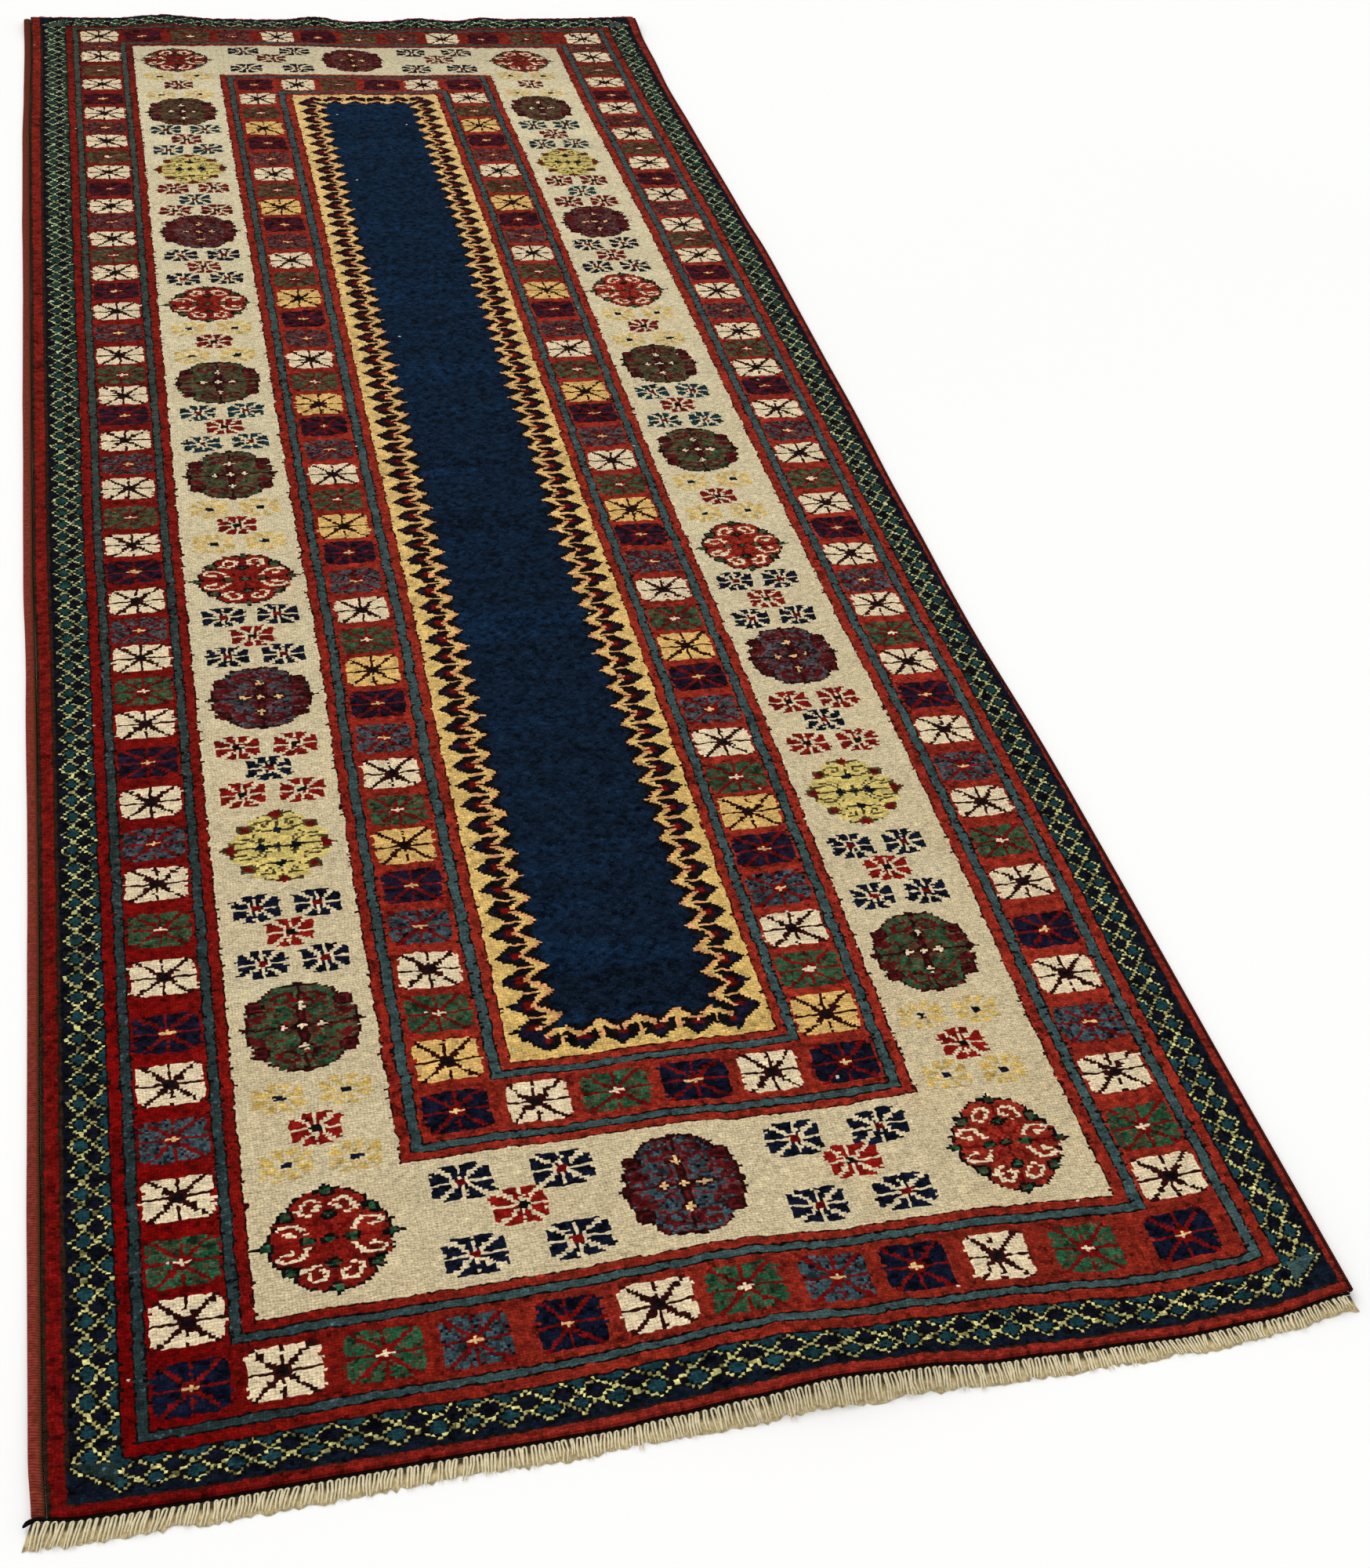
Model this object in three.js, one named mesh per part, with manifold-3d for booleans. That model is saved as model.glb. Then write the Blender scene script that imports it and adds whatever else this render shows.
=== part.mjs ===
// A long hand-knotted wool rug that lies flat on the floor, with soft ripples at both ends.
// It has a knotted body, an overcast selvedge along each side, a dark wool cord along each end
// and a fringe of warp ends beyond each cord. Lengths are in millimetres and +Z is up.
// The rug's length runs along Y, with the fringe of warp loops at the -Y end.

import * as THREE from 'three';
import { mergeVertices } from 'three/addons/utils/BufferGeometryUtils.js';
import Module from 'manifold-3d';

// Driving sizes of the rug
const bodyLength = 3418;
const bodyWidth = 1290;
const bodyThickness = 7;
const pileInset = 1.6;
const pileDip = 0.8;
const leftSelvedgeWidth = 13.4;
const leftSelvedgeThickness = 5;
const rightSelvedgeWidth = 5.5;
const rightSelvedgeThickness = 6;
const cordDepth = 3.6;
const cordThickness = 4.2;
const gap = 0.3;

// Driving sizes of the fringes
const strandCount = 150;
const stripDepth = 3;
const stripThickness = 3;
const strandWidth = 5.4;
const strandThickness = 2.8;
const strandRootOverlap = 1.6;
const strandRootHeight = 1.8;
const strandRootWidth = 3.6;
const strandEndMargin = 7;
const strandDroopPower = 1.4;
const nearStrandReach = 22;
const farStrandReach = 12;

// How far into the rug the unevenness of each end reaches
const nearRippleReach = 320;
const nearShiftReach = 420;
const farRippleReach = 110;
const farShiftReach = 260;
const ridgeSetback = 14;
const ridgeEndShare = 0.15;

// Number of steps in the faceted solids, and how near two points are to count as one
const bodyColumns = 46;
const middleSteps = 11;
const selvedgeSectionPoints = 12;
const cordSectionPoints = 6;
const strandSides = 3;
const strandBends = 2;
const onePoint = 1e-4;

// The near end: at each place across the rug, how far the edge lies inward of a straight line,
// and how high the rug is lifted off the floor there
const nearEnd = [
  { across: -652, inward: 2, lift: 3 },
  { across: -476, inward: 0, lift: 0 },
  { across: -137, inward: 0, lift: 0 },
  { across: -69, inward: 2, lift: 4 },
  { across: -1, inward: 3, lift: 10 },
  { across: 87, inward: 5, lift: 17 },
  { across: 168, inward: 4, lift: 12 },
  { across: 269, inward: -1, lift: 4 },
  { across: 371, inward: -3, lift: 0 },
  { across: 459, inward: -6, lift: 0 },
  { across: 540, inward: -4, lift: 2 },
  { across: 652, inward: 7, lift: 6 },
];

// The far end: the height of the low ridge just before the end
const farRidge = [
  { across: -652, lift: 9 },
  { across: -476, lift: 8 },
  { across: -377, lift: 15 },
  { across: -261, lift: 7.5 },
  { across: -131, lift: 7.5 },
  { across: -51, lift: 15 },
  { across: 17, lift: 6.5 },
  { across: 90, lift: 7 },
  { across: 163, lift: 13 },
  { across: 246, lift: 6.5 },
  { across: 309, lift: 14 },
  { across: 371, lift: 9 },
  { across: 478, lift: 9 },
  { across: 652, lift: 10 },
];

// The far end: how far the edge lies inward of a straight line
const farLine = [
  { across: -652, inward: 0 },
  { across: -377, inward: 1 },
  { across: -131, inward: 10 },
  { across: 51, inward: 20 },
  { across: 259, inward: 16 },
  { across: 478, inward: 8 },
  { across: 652, inward: 0 },
];

// The sides: at each distance up the rug, how far each side lies to the right of a straight line
const sides = [
  { along: 0, left: 0, right: -2.6 },
  { along: 330, left: 0, right: 1.3 },
  { along: 820, left: 1.5, right: 1.3 },
  { along: 1190, left: 0, right: -7 },
  { along: 1440, left: -3, right: -4 },
  { along: 1830, left: -3.5, right: 2.6 },
  { along: 2290, left: -3.5, right: 7 },
  { along: 2490, left: -4, right: 2.6 },
  { along: 2860, left: -4, right: -1.3 },
  { along: 3040, left: -2, right: -4 },
  { along: 3210, left: 0, right: 1.3 },
  { along: 3418, left: 0, right: 4 },
];

// How the strands of a fringe lean: a few slow waves, each with a size and a number of turns
const leanWaves = [
  { size: 3.2, turns: 2.3, start: 0.4 },
  { size: 1.9, turns: 5.7, start: 2.1 },
  { size: 0.7, turns: 17.3, start: 4.0 },
];

const wool = { roughness: 0.95, metalness: 0 };
const bodyMaterial = new THREE.MeshStandardMaterial({ color: 0x8a2a20, ...wool });
const selvedgeMaterial = new THREE.MeshStandardMaterial({ color: 0x5a2418, ...wool });
const cordMaterial = new THREE.MeshStandardMaterial({ color: 0x14131a, ...wool });
const fringeMaterial = new THREE.MeshStandardMaterial({ color: 0xcdbd94, ...wool });

const wasm = await Module();
wasm.setup();

// A column of a table at one place, eased from each row to the next by half a cosine wave
function eased(rows, place, column, at) {
  const last = rows[rows.length - 1];
  if (at <= rows[0][place]) {
    return rows[0][column];
  }
  if (at >= last[place]) {
    return last[column];
  }
  const above = rows.findIndex((row) => row[place] > at);
  const low = rows[above - 1];
  const high = rows[above];
  const share = (at - low[place]) / (high[place] - low[place]);
  return low[column] + (high[column] - low[column]) * (1 - Math.cos(Math.PI * share)) / 2;
}

// One at no distance, nothing at the reach and beyond, with a level start and end
function fade(distance, reach) {
  const share = Math.min(Math.max(distance / reach, 0), 1);
  return (1 + Math.cos(Math.PI * share)) / 2;
}

// The height of the rug's underside, at a place across it and a distance along it
function lift(across, along) {
  const near = eased(nearEnd, 'across', 'lift', across) * fade(along, nearRippleReach);
  const ridge = eased(farRidge, 'across', 'lift', across);
  const fromEnd = bodyLength - along;
  if (fromEnd > ridgeSetback) {
    return near + ridge * fade(fromEnd - ridgeSetback, farRippleReach);
  }
  const climb = ridgeEndShare + (1 - ridgeEndShare) * fade(ridgeSetback - fromEnd, ridgeSetback);
  return ridge * climb;
}

// Where the straight-edged rug's point at a distance along it really lies along Y
function lengthwise(across, along) {
  const near = eased(nearEnd, 'across', 'inward', across) * fade(along, nearShiftReach);
  const far = eased(farLine, 'across', 'inward', across) * fade(bodyLength - along, farShiftReach);
  return along - bodyLength / 2 + near - far;
}

// The two long edges of the knotted body
const bodyLeft = -(bodyWidth + leftSelvedgeWidth + rightSelvedgeWidth) / 2 + leftSelvedgeWidth;
function leftEdge(along) {
  return bodyLeft + eased(sides, 'along', 'left', along);
}
function rightEdge(along) {
  return bodyLeft + bodyWidth + eased(sides, 'along', 'right', along);
}

// Sets each point of a geometry by a rule that takes its old place and gives its new one
function shaped(geometry, rule) {
  const points = geometry.attributes.position;
  for (let i = 0; i < points.count; i += 1) {
    const [x, y, z] = rule(points.getX(i), points.getY(i), points.getZ(i));
    points.setXYZ(i, x, y, z);
  }
  geometry.deleteAttribute('normal');
  geometry.deleteAttribute('uv');
  const merged = mergeVertices(geometry, onePoint);
  merged.computeVertexNormals();
  return merged;
}

// The distances along the rug at which its pieces have a row of points: close together
// where the ends ripple and wide apart over the flat middle
function stationsAlong() {
  const nearShares = [0, 0.06, 0.16, 0.3, 0.46, 0.64, 0.82, 1];
  const farShares = [1, 0.78, 0.58, 0.4, 0.24, 0.1];
  const nearStop = nearRippleReach;
  const farStop = bodyLength - ridgeSetback - farRippleReach;
  const rows = nearShares.map((share) => share * nearStop);
  for (let i = 1; i < middleSteps; i += 1) {
    rows.push(nearStop + (farStop - nearStop) * i / middleSteps);
  }
  farShares.forEach((share) => rows.push(bodyLength - ridgeSetback - share * farRippleReach));
  [1, 0.66, 0.33, 0].forEach((share) => rows.push(bodyLength - ridgeSetback * share));
  return rows;
}

const stations = stationsAlong();
const steps = stations.length - 1;
function stationAt(share) {
  return stations[Math.round(share * steps)];
}

// The knotted body: one thin wavy sheet, a little narrower at the top where the pile leans in
function bodyGeometry() {
  const box = new THREE.BoxGeometry(1, 1, 1, bodyColumns, steps, 1);
  return shaped(box, (x, y, z) => {
    const along = stationAt(y + 0.5);
    const top = z > 0;
    const rimAcross = 0.5 - Math.abs(x) < onePoint;
    const rimAlong = 0.5 - Math.abs(y) < onePoint;
    const insetAcross = top && rimAcross ? pileInset * Math.sign(x) : 0;
    const insetAlong = top && rimAlong ? pileInset * Math.sign(y) : 0;
    const across = leftEdge(along) + (rightEdge(along) - leftEdge(along)) * (x + 0.5);
    const dip = top && (rimAcross || rimAlong) ? pileDip : 0;
    const height = top ? bodyThickness - dip : 0;
    return [
      across - insetAcross,
      lengthwise(across, along) - insetAlong,
      lift(across, along) + height,
    ];
  });
}

// The left selvedge: two ribs side by side, overcast with wool, in one band along the edge
function leftSelvedgeGeometry() {
  const waist = 0.72;
  const round = new THREE.CylinderGeometry(1, 1, 1, selvedgeSectionPoints, steps);
  const halfWidth = leftSelvedgeWidth / 2;
  const halfThickness = leftSelvedgeThickness / 2;
  return shaped(round, (x, y, z) => {
    const along = stationAt(y + 0.5);
    const edge = leftEdge(along);
    const rib = waist + (1 - waist) * Math.sin(Math.PI * x) ** 2;
    const height = halfThickness * (1 + z * rib);
    const across = edge - gap - halfWidth + halfWidth * x;
    return [across, lengthwise(edge, along), lift(edge, along) + height];
  });
}

// The right selvedge: the same two ribs turned down, one above the other, beside the pile
function rightSelvedgeGeometry() {
  const waist = 0.78;
  const round = new THREE.CylinderGeometry(1, 1, 1, selvedgeSectionPoints, steps);
  const halfWidth = rightSelvedgeWidth / 2;
  const halfThickness = rightSelvedgeThickness / 2;
  return shaped(round, (x, y, z) => {
    const along = stationAt(y + 0.5);
    const edge = rightEdge(along);
    const rib = waist + (1 - waist) * Math.sin(Math.PI * z) ** 2;
    const across = edge + gap + halfWidth * (1 + x * rib);
    const height = halfThickness * (1 + z);
    return [across, lengthwise(edge, along), lift(edge, along) + height];
  });
}

// The near end has along = 0 and points to -Y; the far end points to +Y
const nearSide = { along: 0, outward: -1, reach: nearStrandReach, phase: 0 };
const farSide = { along: bodyLength, outward: 1, reach: farStrandReach, phase: 1.7 };

// The dark wool cord that runs along an end of the body
function cordGeometry(end) {
  const round = new THREE.CylinderGeometry(1, 1, 1, cordSectionPoints, bodyColumns);
  const halfDepth = cordDepth / 2;
  const halfThickness = cordThickness / 2;
  return shaped(round, (x, y, z) => {
    const across = leftEdge(end.along) + (rightEdge(end.along) - leftEdge(end.along)) * (y + 0.5);
    const middle = lengthwise(across, end.along) + end.outward * (gap + halfDepth);
    const height = halfThickness * (1 + z);
    return [across, middle - halfDepth * x, lift(across, end.along) + height];
  });
}

// The narrow strip of packed warps in which the strands of a fringe are rooted
function stripGeometry(end) {
  const box = new THREE.BoxGeometry(1, 1, 1, bodyColumns, 1, 1);
  const start = gap + cordDepth + gap;
  return shaped(box, (x, y, z) => {
    const across = leftEdge(end.along) + (rightEdge(end.along) - leftEdge(end.along)) * (x + 0.5);
    const depth = start + stripDepth * (0.5 + end.outward * y);
    const height = stripThickness * (z + 0.5);
    const place = lengthwise(across, end.along) + end.outward * depth;
    return [across, place, lift(across, end.along) + height];
  });
}

// How far a strand's tip lies to the right of its root
function lean(share, phase) {
  const parts = leanWaves.map((wave) => {
    const angle = 2 * Math.PI * wave.turns * share + wave.start + phase;
    return wave.size * Math.sin(angle);
  });
  return parts.reduce((sum, part) => sum + part, 0);
}

// One strand: a three-sided length of yarn, flat side down, from its root to the floor
function strandGeometry(end, index) {
  const share = (index + 0.5) / strandCount;
  const first = leftEdge(end.along) + strandEndMargin;
  const last = rightEdge(end.along) - strandEndMargin;
  const root = first + (last - first) * share;
  const rootLift = lift(root, end.along);
  const start = lengthwise(root, end.along)
    + end.outward * (gap + cordDepth + gap + stripDepth - strandRootOverlap);
  const length = end.reach + strandRootOverlap;
  const sideways = lean(share, end.phase);
  const round = new THREE.CylinderGeometry(1, 1, 1, strandSides, strandBends);
  const sectionHalfWidth = Math.sin(2 * Math.PI / strandSides);
  const sectionLow = Math.cos(2 * Math.PI / strandSides);
  return shaped(round, (x, y, z) => {
    const run = y + 0.5;
    const atRoot = run < onePoint;
    const width = atRoot ? strandRootWidth : strandWidth;
    const thickness = atRoot ? strandRootHeight : strandThickness;
    const base = atRoot ? (stripThickness - strandRootHeight) / 2 : 0;
    const across = root + sideways * run + end.outward * x * width / (2 * sectionHalfWidth);
    const droop = rootLift * (1 - run) ** strandDroopPower;
    const height = base + (z - sectionLow) / (1 - sectionLow) * thickness;
    return [across, start + end.outward * length * run, droop + height];
  });
}

// A closed geometry as a solid that can be joined, and a solid back as a geometry
function solidOf(geometry) {
  const mesh = new wasm.Mesh({
    numProp: 3,
    vertProperties: new Float32Array(geometry.attributes.position.array),
    triVerts: new Uint32Array(geometry.index.array),
  });
  return new wasm.Manifold(mesh);
}
function geometryOf(solid) {
  const mesh = solid.getMesh();
  const geometry = new THREE.BufferGeometry();
  geometry.setAttribute('position', new THREE.BufferAttribute(mesh.vertProperties, 3));
  geometry.setIndex(new THREE.BufferAttribute(mesh.triVerts, 1));
  geometry.computeVertexNormals();
  return geometry;
}

// A fringe: the strip and its strands joined at their roots
function fringeGeometry(end) {
  let fringe = solidOf(stripGeometry(end));
  for (let index = 0; index < strandCount; index += 1) {
    fringe = fringe.add(solidOf(strandGeometry(end, index)));
  }
  return geometryOf(fringe);
}

const rug = new THREE.Group();
function place(name, geometry, material) {
  const mesh = new THREE.Mesh(geometry, material);
  mesh.name = name;
  rug.add(mesh);
}

place('knotted_body', bodyGeometry(), bodyMaterial);
place('selvedge_left', leftSelvedgeGeometry(), selvedgeMaterial);
place('selvedge_right', rightSelvedgeGeometry(), selvedgeMaterial);
place('end_cord_near', cordGeometry(nearSide), cordMaterial);
place('end_cord_far', cordGeometry(farSide), cordMaterial);
place('fringe_near', fringeGeometry(nearSide), fringeMaterial);
place('fringe_far', fringeGeometry(farSide), fringeMaterial);

// The origin is the middle of the rug's outline, on the floor
const outline = new THREE.Box3().setFromObject(rug);
const middle = outline.getCenter(new THREE.Vector3());
rug.position.set(-middle.x, -middle.y, -outline.min.z);
rug.updateMatrixWorld(true);

export default rug;
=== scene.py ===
import math

import bpy
import numpy as np
from mathutils import Matrix, Vector


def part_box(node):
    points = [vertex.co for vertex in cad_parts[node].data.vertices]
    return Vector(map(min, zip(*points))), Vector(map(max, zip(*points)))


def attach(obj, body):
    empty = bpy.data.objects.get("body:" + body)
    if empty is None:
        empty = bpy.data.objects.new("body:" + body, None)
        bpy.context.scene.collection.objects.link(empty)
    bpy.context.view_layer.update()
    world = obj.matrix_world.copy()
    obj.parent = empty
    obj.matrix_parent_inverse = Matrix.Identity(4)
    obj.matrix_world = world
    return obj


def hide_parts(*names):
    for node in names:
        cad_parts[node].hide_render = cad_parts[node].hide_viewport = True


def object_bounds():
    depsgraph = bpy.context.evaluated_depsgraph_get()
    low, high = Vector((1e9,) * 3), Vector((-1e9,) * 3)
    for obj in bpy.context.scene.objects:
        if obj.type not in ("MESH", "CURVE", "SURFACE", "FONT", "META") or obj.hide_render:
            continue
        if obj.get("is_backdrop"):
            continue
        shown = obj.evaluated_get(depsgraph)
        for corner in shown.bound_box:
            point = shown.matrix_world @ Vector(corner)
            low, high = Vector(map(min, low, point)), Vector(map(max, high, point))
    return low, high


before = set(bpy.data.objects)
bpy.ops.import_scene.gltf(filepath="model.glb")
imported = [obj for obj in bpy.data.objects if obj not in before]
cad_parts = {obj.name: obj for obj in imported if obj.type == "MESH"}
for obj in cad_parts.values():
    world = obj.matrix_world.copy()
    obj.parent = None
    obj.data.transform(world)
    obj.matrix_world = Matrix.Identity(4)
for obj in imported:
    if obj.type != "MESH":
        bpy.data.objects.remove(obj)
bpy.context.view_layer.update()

# A long hand-knotted wool rug. Every knot of the pile is one small face with its own dyed colour.
# The pattern is worked out from charts and short layout tables.
# Lengths are in metres, and along runs from the near end, which has the warp loops.

dice = np.random.default_rng(41)

MM = 0.001
BODY_LENGTH = 3418 * MM
BODY_WIDTH = 1290 * MM
PILE_TOP = 7 * MM
LEFT_SELVEDGE_WIDTH = 13.4 * MM
LEFT_SELVEDGE_THICKNESS = 5 * MM
RIGHT_SELVEDGE_WIDTH = 5.5 * MM
RIGHT_SELVEDGE_THICKNESS = 6 * MM
CORD_DEPTH = 3.6 * MM
CORD_THICKNESS = 4.2 * MM
GAP = 0.3 * MM

# A thousandth of the rug's width. The layout tables of the pattern count in it: across from the
# rug's left side, and along from a line a little inside the near edge
PART = 1.3 * MM
MIDDLE_PART = 501
FIRST_PART = -7

# The rug's shape. It follows the CAD source, apart from the first 330 mm of the left side

NEAR_REACH = 320 * MM
NEAR_SHIFT_REACH = 420 * MM
FAR_REACH = 110 * MM
FAR_SHIFT_REACH = 260 * MM
RIDGE_SETBACK = 14 * MM
RIDGE_END_SHARE = 0.15

# Across the rug in millimetres, then a value there in millimetres
NEAR_INWARD = [
    (-652, 2), (-476, 0), (-137, 0), (-69, 2), (-1, 3), (87, 5),
    (168, 4), (269, -1), (371, -3), (459, -6), (540, -4), (652, 7),
]
NEAR_LIFT = [
    (-652, 3), (-476, 0), (-137, 0), (-69, 4), (-1, 10), (87, 17),
    (168, 12), (269, 4), (371, 0), (459, 0), (540, 2), (652, 6),
]
FAR_RIDGE = [
    (-652, 9), (-476, 8), (-377, 15), (-261, 7.5), (-131, 7.5), (-51, 15), (17, 6.5),
    (90, 7), (163, 13), (246, 6.5), (309, 14), (371, 9), (478, 9), (652, 10),
]
FAR_INWARD = [(-652, 0), (-377, 1), (-131, 10), (51, 20), (259, 16), (478, 8), (652, 0)]
# Along the rug in millimetres, then how far the side lies to the right
LEFT_SIDE = [
    (0, 3.4), (70, 0.8), (330, 0), (820, 1.5), (1190, 0), (1440, -3), (1830, -3.5),
    (2290, -3.5), (2490, -4), (2860, -4), (3040, -2), (3210, 0), (3418, 0),
]
RIGHT_SIDE = [
    (0, -2.6), (330, 1.3), (820, 1.3), (1190, -7), (1440, -4), (1830, 2.6),
    (2290, 7), (2490, 2.6), (2860, -1.3), (3040, -4), (3210, 1.3), (3418, 4),
]


def half_wave(share):
    """From nothing to one as a share grows from 0 to 1, along half a cosine wave."""
    return (1 - np.cos(np.pi * share)) / 2


def eased(rows, at, unit=MM):
    """A table's value at each place: half a cosine wave from each row to the next."""
    places, values = np.array(rows, float).T * unit
    at = np.clip(np.asarray(at, float), places[0], places[-1])
    above = np.clip(np.searchsorted(places, at, side="right"), 1, len(places) - 1)
    share = (at - places[above - 1]) / (places[above] - places[above - 1])
    rise = values[above] - values[above - 1]
    return values[above - 1] + rise * half_wave(share)


def fade(distance, reach):
    """One at no distance, nothing at the reach and beyond, along half a cosine wave."""
    return (1 + np.cos(np.pi * np.clip(distance / reach, 0, 1))) / 2


def lift(across, along):
    """The underside's height: the near ripple, fading inwards, plus the ridge at the far end."""
    near = eased(NEAR_LIFT, across) * fade(along, NEAR_REACH)
    ridge = eased(FAR_RIDGE, across)
    from_end = BODY_LENGTH - along
    inner = ridge * fade(from_end - RIDGE_SETBACK, FAR_REACH)
    climb = fade(RIDGE_SETBACK - from_end, RIDGE_SETBACK)
    outer = ridge * (RIDGE_END_SHARE + (1 - RIDGE_END_SHARE) * climb)
    return np.where(from_end > RIDGE_SETBACK, near + inner, outer)


def lengthwise(across, along):
    """Where a distance along the straight rug lies along Y, with each end's own wander."""
    near = eased(NEAR_INWARD, across) * fade(along, NEAR_SHIFT_REACH)
    far = eased(FAR_INWARD, across) * fade(BODY_LENGTH - along, FAR_SHIFT_REACH)
    return along - BODY_LENGTH / 2 + near - far


# The near edge is drawn in a little more than in the CAD, and most at the left corner
EDGE_TUCK = 3.5 * MM
EDGE_TUCK_REACH = 16 * MM
CORNER_TUCK = 6 * MM
CORNER_TUCK_SPAN = 45 * MM
CORNER_TUCK_REACH = 60 * MM


def tuck(across, along):
    """How much further in the near edge lies, fading out along the rug and from the corner."""
    at_corner = fade(np.maximum(across - BODY_LEFT + LEFT_SELVEDGE_WIDTH, 0), CORNER_TUCK_SPAN)
    whole = EDGE_TUCK * fade(along, EDGE_TUCK_REACH)
    return whole + CORNER_TUCK * at_corner * fade(along, CORNER_TUCK_REACH)


# How far the pattern's crosswise lines lie from straight, by the place across, in millimetres.
# The sway of the near end holds for its borders, and so does that of the far end
NEAR_SWAY = [
    (-652, -2), (-575, -2.9), (-442, -1.4), (-359, 1.7), (-242, 1.1), (-127, 2.3), (-42, 4.3),
    (1, 5.7), (43, 3.7), (86, -2.3), (127, -5.1), (203, -2.6), (244, 1.4), (280, 2.9),
    (359, 0), (400, -3.4), (456, -4.6), (519, -4), (585, -0.9), (652, 0),
]
FAR_SWAY = [
    (-652, 0), (-395, 0), (-268, 1.5), (-182, 4), (-127, 0), (-42, -3), (43, -7.5),
    (203, -10), (359, -13), (456, -17), (652, -17),
]
NEAR_SWAY_SPAN = (60 * MM, 260 * MM, 480 * MM)
FAR_SWAY_SPAN = (120 * MM, 180 * MM, 580 * MM)


def sway(across, along):
    """How far a crosswise line of the pattern lies from straight.

    Each table's value grows from nothing at its end of the rug to the whole over the first of
    its spans, holds up to the second, and fades out at the third."""
    total = 0
    for table, (grown, held, gone), distance in (
        (NEAR_SWAY, NEAR_SWAY_SPAN, along),
        (FAR_SWAY, FAR_SWAY_SPAN, BODY_LENGTH - along),
    ):
        hold = (1 - fade(distance, grown)) * fade(distance - held, gone - held)
        total = total + eased(table, across) * hold
    return total


BODY_LEFT = -(BODY_WIDTH + LEFT_SELVEDGE_WIDTH + RIGHT_SELVEDGE_WIDTH) / 2 + LEFT_SELVEDGE_WIDTH


def left_edge(along):
    """The knotted body's left edge: a straight line plus its wander."""
    return BODY_LEFT + eased(LEFT_SIDE, along)


def right_edge(along):
    """The knotted body's right edge: the left line plus the width plus its own wander."""
    return BODY_LEFT + BODY_WIDTH + eased(RIGHT_SIDE, along)


# The CAD centres its outline at the origin: this is how far its body lies from the sums above
body_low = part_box("knotted_body")[0]
fine = np.linspace(0, 1, 2001)
SHIFT_X = body_low[0] - left_edge(fine * BODY_LENGTH).min()
SHIFT_Y = body_low[1] - lengthwise(BODY_LEFT + fine * BODY_WIDTH, 0).min()


def laid(across, along):
    """Where a distance along the straight rug lies along Y in the CAD's frame."""
    return lengthwise(across, along) + tuck(across, along) + SHIFT_Y


# The pattern's layout: columns and rows of knots

# Each stripe from the left selvedge to the right one: its ring, counted inwards from the edge,
# its number of knots and the width of each in parts. Odd rings are the thin dark outlines.
GUARD, CHAIN, RED_A, TEAL_A, OUTER, TEAL_B, RED_B, IVORY = 0, 2, 4, 6, 8, 10, 12, 14
RED_C, TEAL_C, INNER, TEAL_D, RED_D, ZIGZAG, FIELD = 16, 18, 20, 22, 24, 26, 28
LINE = 1.3
COLUMN_BANDS = [
    (GUARD, 5, 2.8), (1, 1, 0.8), (CHAIN, 14, 2.73), (3, 1, LINE), (RED_A, 4, 2.4),
    (5, 1, LINE), (TEAL_A, 3, 2.6), (7, 1, LINE), (OUTER, 23, 2.72), (9, 1, LINE),
    (TEAL_B, 3, 2.6), (11, 1, LINE), (RED_B, 4, 2.35), (13, 1, LINE), (IVORY, 45, 2.68),
    (15, 1, LINE), (RED_C, 4, 2.2), (17, 1, LINE), (TEAL_C, 3, 2.7), (19, 1, LINE),
    (INNER, 25, 2.65), (21, 1, LINE), (TEAL_D, 3, 2.9), (23, 1, LINE), (RED_D, 4, 2.3),
    (25, 1, LINE), (ZIGZAG, 18, 2.73), (FIELD, 51, 2.73), (ZIGZAG, 17, 2.57),
    (25, 1, LINE), (RED_D, 4, 2.3), (23, 1, LINE), (TEAL_D, 3, 2.75), (21, 1, LINE),
    (INNER, 23, 2.7), (19, 1, LINE), (TEAL_C, 3, 2.8), (17, 1, LINE), (RED_C, 4, 2.4),
    (15, 1, LINE), (IVORY, 49, 2.66), (13, 1, LINE), (RED_B, 4, 2.6), (11, 1, LINE),
    (TEAL_B, 3, 2.8), (9, 1, LINE), (OUTER, 23, 2.65), (7, 1, LINE), (TEAL_A, 3, 2.7),
    (5, 1, LINE), (RED_A, 4, 2.4), (3, 1, LINE), (CHAIN, 14, 2.54), (1, 1, LINE),
    (GUARD, 2, 3.0),
]
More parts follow.
